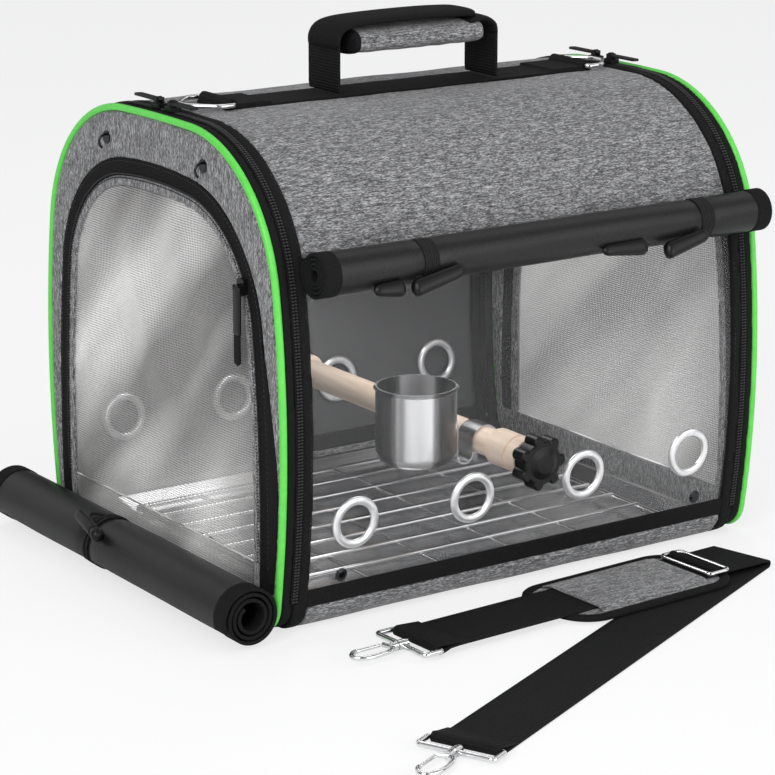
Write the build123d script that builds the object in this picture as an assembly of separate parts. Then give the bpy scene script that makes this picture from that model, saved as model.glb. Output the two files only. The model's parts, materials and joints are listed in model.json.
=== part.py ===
from build123d import *
import math
import os

# Soft-sided bird travel carrier with its shoulder strap. Millimetres, +X to the right, +Y to the back, +Z up.
# The origin is the centre of the base on the floor, and the carrier's length runs along X.

# ---------------------------------------------------------------- driving dimensions
CLEAR = 0.3               # gap between two pieces that move against each other
SEAT = 0.1                # gap under a piece that is fastened to a curved wall

# carrier body: a fabric barrel between two zipped end doors
LENGTH = 400.0            # outer face to outer face of the end doors
HALF_DEPTH = 158.3        # half the depth, at the widest level of the side walls
WIDEST_Z = 130.0
SIDE_R = 700.0            # slight bulge of the side walls
SHOULDER_R = 110.0
CROWN_R = 1500.0
TOP_Z = 326.0
CORNER_R = 22.0           # rounding along the two bottom edges
WALL = 4.5                # padded fabric wall
ROOF_INSET = 0.8          # the roof cloth sits this far under the edge bands
BAND_W = 7.0              # edge tape of the barrel, beside the zip
BAND_T = 5.0
ZIP_W = 2.8               # width of one half of the zip
ZIP_T = 3.0
ZIP_SUNK = 0.4            # how far the zip lies under the edge tape
ZIP_GAP = 0.4             # between the two halves of a zip
ZIP_START_Z = 22.0        # the door zips end above the hinge
HINGE_T = 1.2             # cloth hinge under the door

# windows of clear sheet
SILL_TOP = 18.0
ROOF_EDGE = 250.0
SHEET_T = 0.8
SHEET_INSET = 2.0
BINDING_W = 12.0
BINDING_INSET = 0.4
GROMMET_END = 35.25       # outer eyelet to the end of the barrel
GROMMET_COUNT = 4
GROMMET_Z = 71.0
GROMMET_R = 18.0
GROMMET_HOLE_R = 12.0
GROMMET_NECK_R = 13.3
GROMMET_FLANGE = 1.4
SNAP_END = 26.0           # snap stud to the end of the barrel
SNAP_Z = 36.0
SNAP_R = 4.5
SNAP_T = 1.4

# end doors
DOOR_T = 4.0              # padded door panel
PIPING_R = 2.5
DOOR_BAND_INSET = 1.0
DOOR_HINGE_Z = 1.5        # lowest level of the door, over its cloth hinge

# arched mesh flap in each door
ARCH_MARGIN = 17.3        # door cloth left beside the arch, at its widest level
ARCH_WIDEST_Z = 80.0
ARCH_SIDE_R = 1000.0
ARCH_SHOULDER_R = 100.0
ARCH_CROWN_R = 420.0
ARCH_TOP_MARGIN = 35.0    # and over it
ARCH_BOTTOM_Z = 28.0
ARCH_ZIP_W = 12.0
ARCH_ZIP_T = 3.0
MESH_FRAME_W = 6.6
MESH_FRAME_T = 3.0
MESH_T = 1.0
LEFT_FOLD_Z = 46.0        # the left flap folds just above the rolled cover
MESH_SLIDER_Z = 229.0

# rolled covers
COVER_R = 21.0
COVER_EDGE_R = 21.6
COVER_EDGE_W = 13.0
COVER_CORE_R = 9.0
COVER_OVER = 6.7          # half the roll's length beyond half the depth
COVER_SHIFT_Y = 10.0
COVER_HOOK_Y = 64.0
COVER_HOOK_DROP = 26.0     # hooks below the top of the door
COVER_HEM_T = 2.0
COVER_TIE_Y = 30.0
SHADE_R = 16.0
SHADE_CORE_R = 4.0
SHADE_Z = 244.0
SHADE_LEFT_END = 19.0     # rolled cover to the end doors
SHADE_RIGHT_END = 10.5
SHADE_TIES_X = (-99.0, 133.0)
TIE_W = 10.0
TIE_T = 1.4
CORD_R = 1.2
TOGGLE_R = 4.0
TOGGLE_L = 34.0
BACK_SHADE_T = 1.5
BACK_SHADE_OUT = 1.7      # clear of the grommets and of the screw head
BACK_SHADE_FOOT = 20.0

# ridge strip, rings and carrying handle
WEB_W = 38.0
WEB_T = 2.0
RIDGE_PAST_RING = 5.0     # ridge strip beyond the ring's bar
RING_END = 50.0           # ring's bar to the end door
RING_WIRE_R = 1.75
RING_HALF_W = 22.5
RING_REACH = 27.0
RING_BEND_R = 3.2
HANDLE_X = 3.0
HANDLE_HALF = 67.0
HANDLE_T = 3.0
GRIP_X0 = -48.0
GRIP_X1 = 62.0
GRIP_H = 18.0
GRIP_W = 42.0
GRIP_Z = 363.0
FLAP_T = 7.0
FLAP_REACH = 16.0          # past the left end of the wrap

# perch, bolts and knobs
PERCH_Z = 91.0
PERCH_R = 10.0
PERCH_END_R = 13.0
PERCH_END_L = 35.0
PERCH_GROOVE_W = 2.5
PERCH_GROOVE_D = 1.2
BOLT_R = 3.0
BOLT_L = 45.0
BOLT_FIT = 0.05
WASHER_R = 14.0
WASHER_T = 2.0
SCREW_HEAD_R = 11.0
SCREW_HEAD_T = 2.2
KNOB_R = 15.0
KNOB_LOBES = 7
KNOB_LOBE_R = 4.2
KNOB_L = 15.0
KNOB_CAP_H = 3.0

# feeding cup on its hook
CUP_X = -52.5
CUP_Y = -95.0
CUP_R = 28.0
CUP_BASE_Z = 82.5
CUP_H = 54.5
CUP_WALL = 1.0
CUP_CORNER_R = 9.0
CUP_RIM_R = 1.4
HOOK_W = 18.0
HOOK_T = 1.2
HOOK_TOP = 15.0
HOOK_LOOP_DROP = 7.0      # the strip turns back this far below the perch's middle
HOOK_TAIL_DROP = 9.0

# tray and wire floor
TRAY_END_GAP = 5.0        # tray to the end of the barrel
TRAY_SIDE_GAP = 26.3      # tray to the widest level of the side walls
TRAY_H = 13.0
TRAY_SLOPE = 12.0
TRAY_T = 0.8
TRAY_CORNER_R = 12.0
TRAY_LIP = 3.0
GRATE_END_GAP = 18.0      # wire floor to the tray's end
GRATE_SIDE_GAP = 16.8     # outer wire to the tray's side
GRATE_WIRES = 9
GRATE_WIRE_R = 1.4
GRATE_FRAME_R = 2.0
GRATE_CROSS_X = (-100.0, -42.0, 18.0, 78.0)
GRATE_FOOT_H = 5.0

# shoulder strap, lying folded in front
STRAP_W = 46.0
STRAP_T = 1.4
STRAP_A = (-132.0, -211.0)
STRAP_FOLD = (155.0, -197.0)
STRAP_B = (-206.0, -366.0)
STRAP_TOP_Z = 4.6         # underside of the upper leg
PAD_W = 76.0
PAD_L = 148.0
PAD_AT = 180.0            # middle of the pad, along the upper leg
PAD_END_R = 26.0
SLEEVE_L = 96.0
ADJUSTER_AT = 243.0
ADJUSTER_L = 18.0
ADJUSTER_WIRE_R = 1.5
EYE_L = 14.0
STITCH_L = 18.0            # webbing doubled back and sewn beside an eye
EYE_WIRE_R = 1.8
EYE_BEND_R = 2.2
SWIVEL_R = 1.5
SWIVEL_FIT = 0.08
SNAP_HOOK_L = 30.0
SNAP_HOOK_W = 17.0
SNAP_HOOK_WIRE_R = 1.6
GATE_R = 1.2

# pull tabs of the zips
SLIDER_W = 8.6
SLIDER_L = 11.0
SLIDER_H = 3.0
PULL_W = 6.5
PULL_L = 30.0
PULL_T = 1.4
PULL_PIN_R = 0.9
SLIDER_YS = (-3.0, 15.0)
MESH_PULL_L = 52.0

# ---------------------------------------------------------------- values worked out from them
END_X = LENGTH / 2
DOOR_BACK_X = END_X - DOOR_T                 # inner face of the door panel
ZIP_X = DOOR_BACK_X - 6.0 - ZIP_W - ZIP_GAP / 2   # middle of the door zip
BARREL_X = ZIP_X - ZIP_GAP / 2 - ZIP_W - BAND_W   # half length of the fabric barrel
BIG = 2 * LENGTH
ARCH_HALF = HALF_DEPTH - ARCH_MARGIN
ARCH_TOP_Z = TOP_Z - ARCH_TOP_MARGIN
TRAY_HALF_X = BARREL_X - TRAY_END_GAP
TRAY_HALF_Y = HALF_DEPTH - TRAY_SIDE_GAP
GRATE_HALF_X = TRAY_HALF_X - GRATE_END_GAP
GRATE_PITCH = 2 * (TRAY_HALF_Y - GRATE_SIDE_GAP) / (GRATE_WIRES - 1)
GROMMET_PITCH = 2 * (BARREL_X - GROMMET_END) / (GROMMET_COUNT - 1)
SNAP_X = BARREL_X - SNAP_END
RING_X = END_X - RING_END
RIDGE_HALF = RING_X + RIDGE_PAST_RING
SHADE_X0 = -(END_X - SHADE_LEFT_END)
SHADE_X1 = END_X - SHADE_RIGHT_END
COVER_LENGTH = 2 * (HALF_DEPTH + COVER_OVER)


class Hood:
    """Arch outline across the carrier in tangent arcs: bulging sides, round shoulders and a flat crown."""

    def __init__(self, half, widest, side_r, shoulder_r, crown_r, top, bottom, corner_r):
        self.side_c = (half - side_r, widest)
        self.crown_c = (0.0, top - crown_r)
        self.side_r, self.shoulder_r, self.crown_r = side_r, shoulder_r, crown_r
        self.bottom, self.corner_r = bottom, corner_r
        # the shoulder's centre lies inside both the side arc and the crown arc
        to_side, to_crown = side_r - shoulder_r, crown_r - shoulder_r
        dy = self.crown_c[0] - self.side_c[0]
        dz = self.crown_c[1] - self.side_c[1]
        span = math.hypot(dy, dz)
        along = (to_side ** 2 - to_crown ** 2 + span ** 2) / (2 * span)
        across = math.sqrt(to_side ** 2 - along ** 2)
        self.shoulder_c = (self.side_c[0] + (along * dy - across * dz) / span,
                           self.side_c[1] + (along * dz + across * dy) / span)

    @staticmethod
    def _polar(centre, radius, angle):
        return (centre[0] + radius * math.cos(angle), centre[1] + radius * math.sin(angle))

    def half_at(self, z, inset=0.0):
        """Half the depth of the side wall at height z."""
        radius = self.side_r - inset
        return self.side_c[0] + math.sqrt(radius ** 2 - (z - self.side_c[1]) ** 2)

    def face(self, inset=0.0, bottom=None):
        """The outline moved inwards by inset, as a flat face in (Y, Z)."""
        low = self.bottom + inset if bottom is None else bottom
        side_r, shoulder_r, crown_r = (r - inset for r in (self.side_r, self.shoulder_r, self.crown_r))
        start = math.asin((low - self.side_c[1]) / side_r)
        turn = math.atan2(self.shoulder_c[1] - self.side_c[1], self.shoulder_c[0] - self.side_c[0])
        crown = math.atan2(self.shoulder_c[1] - self.crown_c[1], self.shoulder_c[0] - self.crown_c[0])
        stations = [(self.side_c, side_r, start), (self.side_c, side_r, (start + turn) / 2),
                    (self.side_c, side_r, turn), (self.shoulder_c, shoulder_r, (turn + crown) / 2),
                    (self.crown_c, crown_r, crown)]
        right = [self._polar(*s) for s in stations]
        peak = (0.0, self.crown_c[1] + crown_r)
        left = [(-y, z) for y, z in reversed(right)]
        edges = [ThreePointArc(*right[0:3]), ThreePointArc(*right[2:5]),
                 ThreePointArc(right[4], peak, left[0]),
                 ThreePointArc(*left[0:3]), ThreePointArc(*left[2:5]), Line(left[4], right[0])]
        outline = make_face(Wire(edges))
        corner = self.corner_r - inset
        if corner > 0 and self.corner_r > 0:
            outline = fillet(outline.vertices().group_by(Axis.Y)[0], corner)
        return outline

    def ring(self, outer, inner, bottom=None, inner_bottom=None):
        return self.face(outer, bottom) - self.face(inner, inner_bottom)

    def wall_plane(self, x, z, side, inset=0.0):
        """Plane on the side wall with its normal outwards; side is -1 for the front and 1 for the back."""
        angle = math.asin((z - self.side_c[1]) / (self.side_r - inset))
        normal = (0, side * math.cos(angle), math.sin(angle))
        return Plane(origin=(x, side * self.half_at(z, inset), z), x_dir=(1, 0, 0), z_dir=normal)


BODY = Hood(HALF_DEPTH, WIDEST_Z, SIDE_R, SHOULDER_R, CROWN_R, TOP_Z, 0.0, CORNER_R)
DOOR = Hood(HALF_DEPTH, WIDEST_Z, SIDE_R, SHOULDER_R, CROWN_R, TOP_Z, DOOR_HINGE_Z, CORNER_R)
ARCH = Hood(ARCH_HALF, ARCH_WIDEST_Z, ARCH_SIDE_R, ARCH_SHOULDER_R, ARCH_CROWN_R, ARCH_TOP_Z,
            ARCH_BOTTOM_Z, 0.0)


# ---------------------------------------------------------------- small helpers
def slab(section, x0, x1):
    """A (Y, Z) section drawn out along X."""
    return Pos(x0, 0, 0) * extrude(Plane.YZ * section, x1 - x0)


def block(x0, x1, y0, y1, z0, z1):
    return Pos((x0 + x1) / 2, (y0 + y1) / 2, (z0 + z1) / 2) * Box(x1 - x0, y1 - y0, z1 - z0)


def above(z):
    return block(-BIG, BIG, -BIG, BIG, z, z + BIG)


def below(z):
    return block(-BIG, BIG, -BIG, BIG, z - BIG, z)


def rod(start, end, radius):
    """A round bar between two points."""
    axis = Vector(*end) - Vector(*start)
    return extrude(Plane(origin=start, z_dir=axis) * Circle(radius), axis.length)


def turned(points, origin, axis):
    """A solid of revolution: points are (radius, distance along the axis)."""
    profile = make_face(Polyline(*points, close=True))
    solid = revolve(Plane.XZ * profile, Axis.Z)
    return Plane(origin=origin, z_dir=axis) * solid


def wire_loop(path, radius):
    """A round wire that follows a closed or open path."""
    start = path @ 0
    return sweep(Plane(origin=start, z_dir=path % 0) * Circle(radius), path=path)


def both_ends(piece):
    """The piece at the left end and its mirror image at the right end."""
    return [piece, mirror(piece, Plane.YZ)]


def save(name, *pieces):
    shape = pieces[0] if len(pieces) == 1 else Compound(children=list(pieces))
    export_step(shape, f"parts/{name}.step")


# ---------------------------------------------------------------- fabric barrel and windows
def base_panel():
    return slab(BODY.ring(0, WALL), -BARREL_X, BARREL_X) & below(SILL_TOP)


def roof_panel():
    return slab(BODY.ring(ROOF_INSET, ROOF_INSET + WALL), -BARREL_X, BARREL_X) & above(ROOF_EDGE)


def side_strip(outer, inner, x0, x1, z0, z1, side):
    """A strip of the side wall between two levels."""
    return slab(BODY.ring(outer, inner), x0, x1) & block(-BIG, BIG, *sorted((0, side * BIG)), z0, z1)


def grommet_centres():
    first = -GROMMET_PITCH * (GROMMET_COUNT - 1) / 2
    return [first + i * GROMMET_PITCH for i in range(GROMMET_COUNT)]


def window(side):
    sheet = side_strip(SHEET_INSET, SHEET_INSET + SHEET_T, -BARREL_X, BARREL_X, SILL_TOP, ROOF_EDGE, side)
    for x in grommet_centres():
        plane = BODY.wall_plane(x, GROMMET_Z, side, SHEET_INSET)
        sheet -= extrude(plane * Circle(GROMMET_NECK_R + CLEAR), 3 * SHEET_T, both=True)
    bolt_hole = Plane(origin=(0, side * HALF_DEPTH, PERCH_Z), z_dir=(0, side, 0)) * Circle(BOLT_R + CLEAR)
    return sheet - extrude(bolt_hole, WALL, both=True)


def bindings(side):
    lower = side_strip(BINDING_INSET, SHEET_INSET, -BARREL_X, BARREL_X, SILL_TOP, SILL_TOP + BINDING_W, side)
    low = ROOF_EDGE - BINDING_W
    upper = side_strip(BINDING_INSET, SHEET_INSET, -BARREL_X, BARREL_X, low, ROOF_EDGE, side)
    return [lower, upper]


def grommet(x, side):
    """Eyelet with a flange on each face of the sheet."""
    grip = SHEET_T / 2 + CLEAR
    face = grip + GROMMET_FLANGE
    bevel = GROMMET_FLANGE / 2
    half = [(GROMMET_HOLE_R + bevel, face), (GROMMET_R - bevel, face), (GROMMET_R, face - bevel),
            (GROMMET_R, grip), (GROMMET_NECK_R, grip)]
    outline = half + [(r, -z) for r, z in reversed(half)]
    outline += [(GROMMET_HOLE_R, -face + bevel), (GROMMET_HOLE_R, face - bevel)]
    plane = BODY.wall_plane(x, GROMMET_Z, side, SHEET_INSET + SHEET_T / 2)
    return turned(outline, plane.origin, plane.z_dir)


def snap_stud(x, side):
    plane = BODY.wall_plane(x, SNAP_Z, side, SHEET_INSET)
    outline = [(0, SEAT), (SNAP_R, SEAT), (SNAP_R, SNAP_T / 2), (SNAP_R * 0.55, SNAP_T), (0, SNAP_T)]
    return turned(outline, plane.origin, plane.z_dir)


def body_band():
    """Edge tape at the left end of the barrel, with the cloth hinge of the door."""
    zip_foot = ZIP_X + ZIP_GAP / 2
    tape = slab(BODY.ring(0, BAND_T), -BARREL_X - BAND_W, -BARREL_X)
    foot = slab(BODY.ring(0, BAND_T), -zip_foot, -BARREL_X) & below(ZIP_START_Z)
    flat = BODY.half_at(0) - CORNER_R - CLEAR
    hinge = block(-END_X + CLEAR, -BARREL_X, -flat, flat, 0, HINGE_T)
    return tape + foot + hinge


def body_zip():
    start = BARREL_X + BAND_W
    return slab(BODY.ring(ZIP_SUNK, ZIP_SUNK + ZIP_T), -start - ZIP_W, -start) & above(ZIP_START_Z)


def back_shade():
    """Cover of the rear window, let down, hemmed to the roof."""
    outer = -BACK_SHADE_OUT - BACK_SHADE_T
    cloth = side_strip(outer, -BACK_SHADE_OUT, -BARREL_X, BARREL_X, BACK_SHADE_FOOT, ROOF_EDGE + BINDING_W, 1)
    hem = side_strip(-BACK_SHADE_OUT, ROOF_INSET, -BARREL_X, BARREL_X, ROOF_EDGE, ROOF_EDGE + BINDING_W, 1)
    return cloth + hem


def shade_axis_y():
    return -(BODY.half_at(SHADE_Z) + SHADE_R + 2 * CLEAR)


def shade_roll():
    """Front shade rolled up under the roof edge, held by its hem."""
    y = shade_axis_y()
    section = Pos(y, SHADE_Z) * (Circle(SHADE_R) - Circle(SHADE_CORE_R))
    roll = slab(section, SHADE_X0, SHADE_X1)
    roll += side_strip(-1.4, ROOF_INSET, -BARREL_X, BARREL_X, ROOF_EDGE + CLEAR, ROOF_EDGE + BINDING_W, -1)
    roll += side_strip(-6.0, ROOF_INSET, -BARREL_X, BARREL_X, ROOF_EDGE + CLEAR, ROOF_EDGE + 4, -1)
    waist = Pos(y, SHADE_Z) * (Circle(SHADE_R + 1) - Circle(SHADE_R - TIE_T))
    for x in SHADE_TIES_X:
        roll -= slab(waist, x - TIE_W / 2 - CLEAR, x + TIE_W / 2 + CLEAR)
    return roll


def shade_tie(x):
    """Elastic band round the roll with its cord, and two toggles on the cord."""
    y = shade_axis_y()
    band_section = Pos(y, SHADE_Z) * (Circle(SHADE_R) - Circle(SHADE_R - TIE_T + 0.05))
    band = slab(band_section, x - TIE_W / 2, x + TIE_W / 2)
    cord_z = SHADE_Z - SHADE_R - TOGGLE_R
    cord_y = y - SHADE_R / 3
    reach = TOGGLE_L + TIE_W
    cord = rod((x - reach, cord_y, cord_z), (x + reach / 2, cord_y, cord_z), CORD_R)
    band_z = SHADE_Z - math.sqrt((SHADE_R - TIE_T / 2) ** 2 - (y - cord_y) ** 2)
    drop = rod((x, cord_y, cord_z), (x, cord_y, band_z), CORD_R / 2)
    toggles = []
    for start in (x - reach + CORD_R, x + CORD_R + CLEAR):
        end = start + TOGGLE_L if start < x - TIE_W else start + reach / 2 - 2 * CORD_R
        barrel = rod((start, cord_y, cord_z), (end, cord_y, cord_z), TOGGLE_R)
        toggles.append(barrel - rod((start - 1, cord_y, cord_z), (end + 1, cord_y, cord_z), CORD_R + SEAT))
    return [band + cord + drop] + toggles


# ---------------------------------------------------------------- ridge strip, rings, handle
def crown_z(inset=0.0):
    return TOP_Z - inset


def ridge_strip():
    """Webbing sewn along the ridge; each end folds over the straight side of a ring."""
    strip = slab(BODY.ring(ROOF_INSET - WEB_T, ROOF_INSET), -RIDGE_HALF, RIDGE_HALF)
    strip &= block(-BIG, BIG, -WEB_W / 2, WEB_W / 2, WIDEST_Z, BIG)
    top = crown_z(ROOF_INSET - WEB_T)
    centre_z = top + CLEAR + RING_WIRE_R
    inner = RING_WIRE_R + CLEAR
    for side in (-1, 1):
        x = side * RING_X
        outer_c = rod((x, -WEB_W / 2, centre_z), (x, WEB_W / 2, centre_z), inner + WEB_T)
        bore = rod((x, -WEB_W, centre_z), (x, WEB_W, centre_z), inner)
        tail = block(*sorted((x, x - side * 30)), -WEB_W / 2, WEB_W / 2, top - 0.5, top + WEB_T)
        strip = strip + (outer_c & above(top - 0.5)) + tail - bore
    return strip


def d_ring():
    """Left ring: a straight side in the webbing fold and a round bow towards the end."""
    z = crown_z(ROOF_INSET - WEB_T) + CLEAR + RING_WIRE_R
    w, reach = RING_HALF_W, RING_REACH
    bend, bow = RING_BEND_R, w * 0.5
    path = FilletPolyline((-RING_X, w, z), (-RING_X - reach * 0.45, w, z), (-RING_X - reach, w * 0.3, z),
                          (-RING_X - reach, -w * 0.3, z), (-RING_X - reach * 0.45, -w, z), (-RING_X, -w, z),
                          radius=[bend, bow, bow, bow, bow, bend], close=True)
    return wire_loop(path, RING_WIRE_R)


def handle_foot_z():
    return crown_z(ROOF_INSET - WEB_T) + CLEAR


def handle_pivot_z():
    """The legs turn just under the flat webbing inside the grip."""
    return GRIP_Z - HANDLE_T - CLEAR


def handle_leg(side):
    x = HANDLE_X + side * HANDLE_HALF
    low, high = handle_foot_z() + HANDLE_T / 2, handle_pivot_z()
    leg = block(x - HANDLE_T / 2, x + HANDLE_T / 2, -WEB_W / 2, WEB_W / 2, low, high)
    for z in (low, high):
        leg += rod((x, -WEB_W / 2, z), (x, WEB_W / 2, z), HANDLE_T / 2)
    return leg


def handle_grip():
    """Padded wrap round the webbing, and the wrap's closing flap on top."""
    reach = HANDLE_HALF + HANDLE_T / 2
    web = block(HANDLE_X - reach, HANDLE_X + reach, -WEB_W / 2, WEB_W / 2,
                GRIP_Z - HANDLE_T / 2, GRIP_Z + HANDLE_T / 2)
    wrap = slab(Pos(0, GRIP_Z) * RectangleRounded(GRIP_W, GRIP_H, GRIP_H / 2 - 0.5), GRIP_X0, GRIP_X1)
    flap_z = GRIP_Z + GRIP_H / 2
    flap = block(GRIP_X0 - FLAP_REACH, GRIP_X1, -WEB_W / 2, WEB_W / 2, flap_z, flap_z + FLAP_T)
    flap = fillet(flap.edges().filter_by(Axis.Y).group_by(Axis.X)[-1], FLAP_T / 2 - 0.1)
    return [wrap + web, flap]


# ---------------------------------------------------------------- perch, bolts, knobs
def perch_end_y():
    """The perch stops just inside the sheet, at the nearest level of its end face."""
    return BODY.half_at(PERCH_Z - PERCH_END_R, SHEET_INSET + SHEET_T) - CLEAR


def knob_seat_y():
    """Outer face of the sheet, at its most bulging level under the washer."""
    return BODY.half_at(PERCH_Z + WASHER_R, SHEET_INSET) + SEAT


def bolt_ends():
    """Distances from the middle of the carrier: the bolt's inner and outer end at the knob."""
    outer = knob_seat_y() + WASHER_T + CLEAR + KNOB_L - KNOB_CAP_H - 1
    return outer - BOLT_L, outer


def perch():
    end = perch_end_y()
    inner = end - PERCH_END_L
    groove = end - PERCH_END_L * 0.35
    depth = PERCH_END_R - PERCH_GROOVE_D
    half = [(PERCH_END_R, end), (PERCH_END_R, groove + PERCH_GROOVE_W), (depth, groove + PERCH_GROOVE_W),
            (depth, groove), (PERCH_END_R, groove), (PERCH_END_R, inner + 2), (PERCH_R, inner)]
    outline = [(0, end)] + half + [(r, -y) for r, y in reversed(half)] + [(0, -end)]
    stick = turned(outline, (0, 0, PERCH_Z), (0, 1, 0))
    bore_end = bolt_ends()[0]
    for side in (-1, 1):
        stick -= rod((0, side * bore_end, PERCH_Z), (0, side * (end + 1), PERCH_Z), BOLT_R)
    return stick


def perch_bolts():
    """Stud for the knob at the front, and a screw with a flat head at the back."""
    inner, outer = bolt_ends()
    seat = knob_seat_y()
    stud = rod((0, -inner, PERCH_Z), (0, -outer, PERCH_Z), BOLT_R)
    top = seat + SCREW_HEAD_T
    half = [(0, inner), (BOLT_R, inner), (BOLT_R, seat), (SCREW_HEAD_R, seat), (SCREW_HEAD_R - 1, top), (0, top)]
    screw = turned(half, (0, 0, PERCH_Z), (0, 1, 0))
    return [stud, screw]


def perch_washer():
    y = knob_seat_y()
    ring = rod((0, -y, PERCH_Z), (0, -y - WASHER_T, PERCH_Z), WASHER_R)
    return ring - rod((0, -y + 1, PERCH_Z), (0, -y - WASHER_T - 1, PERCH_Z), BOLT_R + BOLT_FIT)


def knob():
    """Star knob with a domed cap, threaded on the front bolt."""
    outline = Circle(KNOB_R)
    outline += PolarLocations(KNOB_R, KNOB_LOBES) * Circle(KNOB_LOBE_R)
    skirt = KNOB_L - KNOB_CAP_H
    y = knob_seat_y() + WASHER_T + CLEAR
    plane = Plane(origin=(0, -y, PERCH_Z), x_dir=(1, 0, 0), z_dir=(0, -1, 0))
    star = extrude(outline, skirt)
    star = chamfer(star.faces().sort_by(Axis.Z)[-1].edges(), 1.0)
    dome = turned([(0, skirt - 1), (KNOB_R * 0.75, skirt - 1), (KNOB_R * 0.75, skirt),
                   (KNOB_R * 0.45, KNOB_L - 0.8), (0, KNOB_L)], (0, 0, 0), (0, 0, 1))
    bore = extrude(Circle(BOLT_R + BOLT_FIT), skirt - 0.5)
    return plane * (star + dome - bore)


# ---------------------------------------------------------------- cup and its hook
def cup():
    r, wall, corner = CUP_R, CUP_WALL, CUP_CORNER_R
    outer = Pos(0, 0, CUP_H / 2) * Cylinder(r, CUP_H)
    outer = fillet(outer.edges().sort_by(Axis.Z)[0], corner)
    inner = Pos(0, 0, wall + CUP_H / 2) * Cylinder(r - wall, CUP_H)
    inner = fillet(inner.edges().sort_by(Axis.Z)[0], corner - wall)
    lip_low, lip_mid = CUP_H - 2 * CUP_RIM_R, CUP_H - CUP_RIM_R
    half = [(r - wall, lip_low), (r, lip_low), (r + CUP_RIM_R, lip_mid), (r, CUP_H), (r - wall, CUP_H)]
    rim = turned(half, (0, 0, 0), (0, 0, 1))
    return Pos(CUP_X, CUP_Y, CUP_BASE_Z) * (outer - inner + rim)


def cup_hook():
    """Flat steel strip: up the side of the cup, round under, over the perch and down."""
    plate_x = CUP_X + CUP_R + SEAT / 2 + HOOK_T / 2
    saddle = PERCH_R + CLEAR + HOOK_T / 2
    loop_r = (-saddle - plate_x) / 2
    loop_z = PERCH_Z - HOOK_LOOP_DROP
    tail_z = PERCH_Z - HOOK_TAIL_DROP
    with BuildLine() as centre_line:
        Line((plate_x, PERCH_Z + HOOK_TOP), (plate_x, loop_z))
        ThreePointArc((plate_x, loop_z), (plate_x + loop_r, loop_z - loop_r), (-saddle, loop_z))
        Line((-saddle, loop_z), (-saddle, PERCH_Z))
        ThreePointArc((-saddle, PERCH_Z), (0, PERCH_Z + saddle), (saddle, PERCH_Z))
        Line((saddle, PERCH_Z), (saddle, tail_z))
    strip = trace(centre_line.line, line_width=HOOK_T)
    solid = extrude(Plane.XZ * strip, HOOK_W / 2, both=True)
    return Pos(0, CUP_Y, 0) * solid


# ---------------------------------------------------------------- tray and wire floor
def pan(half_x, half_y, low, high, slope, corner):
    """A solid with sides that lean out by slope."""
    bottom = Plane.XY.offset(low) * RectangleRounded(2 * (half_x - slope), 2 * (half_y - slope), corner)
    top = Plane.XY.offset(high) * RectangleRounded(2 * half_x, 2 * half_y, corner)
    return loft([bottom, top])


def tray():
    low = WALL
    high = low + TRAY_H
    lip_face = RectangleRounded(2 * (TRAY_HALF_X + TRAY_LIP), 2 * (TRAY_HALF_Y + TRAY_LIP), TRAY_CORNER_R)
    shell = pan(TRAY_HALF_X, TRAY_HALF_Y, low, high, TRAY_SLOPE, TRAY_CORNER_R)
    shell += extrude(Plane.XY.offset(high - TRAY_T) * lip_face, TRAY_T)
    hollow = pan(TRAY_HALF_X - TRAY_T, TRAY_HALF_Y - TRAY_T, low + TRAY_T, high + 0.01, TRAY_SLOPE,
                 TRAY_CORNER_R)
    return shell - hollow


def grate():
    """Parallel wires on cross wires and a frame, standing on four feet in the tray."""
    floor_z = WALL + TRAY_T
    cross_z = floor_z + GRATE_FOOT_H + GRATE_FRAME_R
    wire_z = cross_z + GRATE_WIRE_R
    last = GRATE_PITCH * (GRATE_WIRES - 1) / 2
    ends_x = (-GRATE_HALF_X + GRATE_FRAME_R, GRATE_HALF_X - GRATE_FRAME_R)
    pieces = []
    for i in range(GRATE_WIRES):
        y = -last + i * GRATE_PITCH
        radius = GRATE_FRAME_R if i in (0, GRATE_WIRES - 1) else GRATE_WIRE_R
        z = cross_z if i in (0, GRATE_WIRES - 1) else wire_z
        pieces.append(rod((ends_x[0], y, z), (ends_x[1], y, z), radius))
    for x in GRATE_CROSS_X:
        pieces.append(rod((x, -last, cross_z), (x, last, cross_z), GRATE_WIRE_R))
    for x in ends_x:
        pieces.append(rod((x, -last, cross_z), (x, last, cross_z), GRATE_FRAME_R))
        for y in (-last, last):
            pieces.append(Pos(x, y, cross_z) * Sphere(GRATE_FRAME_R))
            pieces.append(rod((x, y, floor_z), (x, y, cross_z), GRATE_FRAME_R))
    return pieces[0].fuse(*pieces[1:])


# ---------------------------------------------------------------- end doors (built at the left end)
def door_panel():
    """Padded panel with the arched opening."""
    return slab(DOOR.face(2 * PIPING_R + SEAT) - ARCH.face(0), -END_X, -DOOR_BACK_X)


def door_band():
    inner = DOOR_BAND_INSET + BAND_T
    zip_x = ZIP_X + ZIP_GAP / 2 + ZIP_W
    tape = slab(DOOR.ring(DOOR_BAND_INSET, inner), -DOOR_BACK_X, -zip_x)
    foot = slab(DOOR.ring(DOOR_BAND_INSET, inner), -DOOR_BACK_X, -ZIP_X - ZIP_GAP) & below(ZIP_START_Z)
    return tape + foot


def piping():
    """Round cord sewn round the edge of the door."""
    x = -DOOR_BACK_X - PIPING_R - SEAT / 2
    edge = Plane(origin=(x, 0, 0), x_dir=(0, 1, 0), z_dir=(1, 0, 0)) * DOOR.face(PIPING_R)
    path = edge.face().outer_wire()
    return wire_loop(path, PIPING_R)


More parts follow.
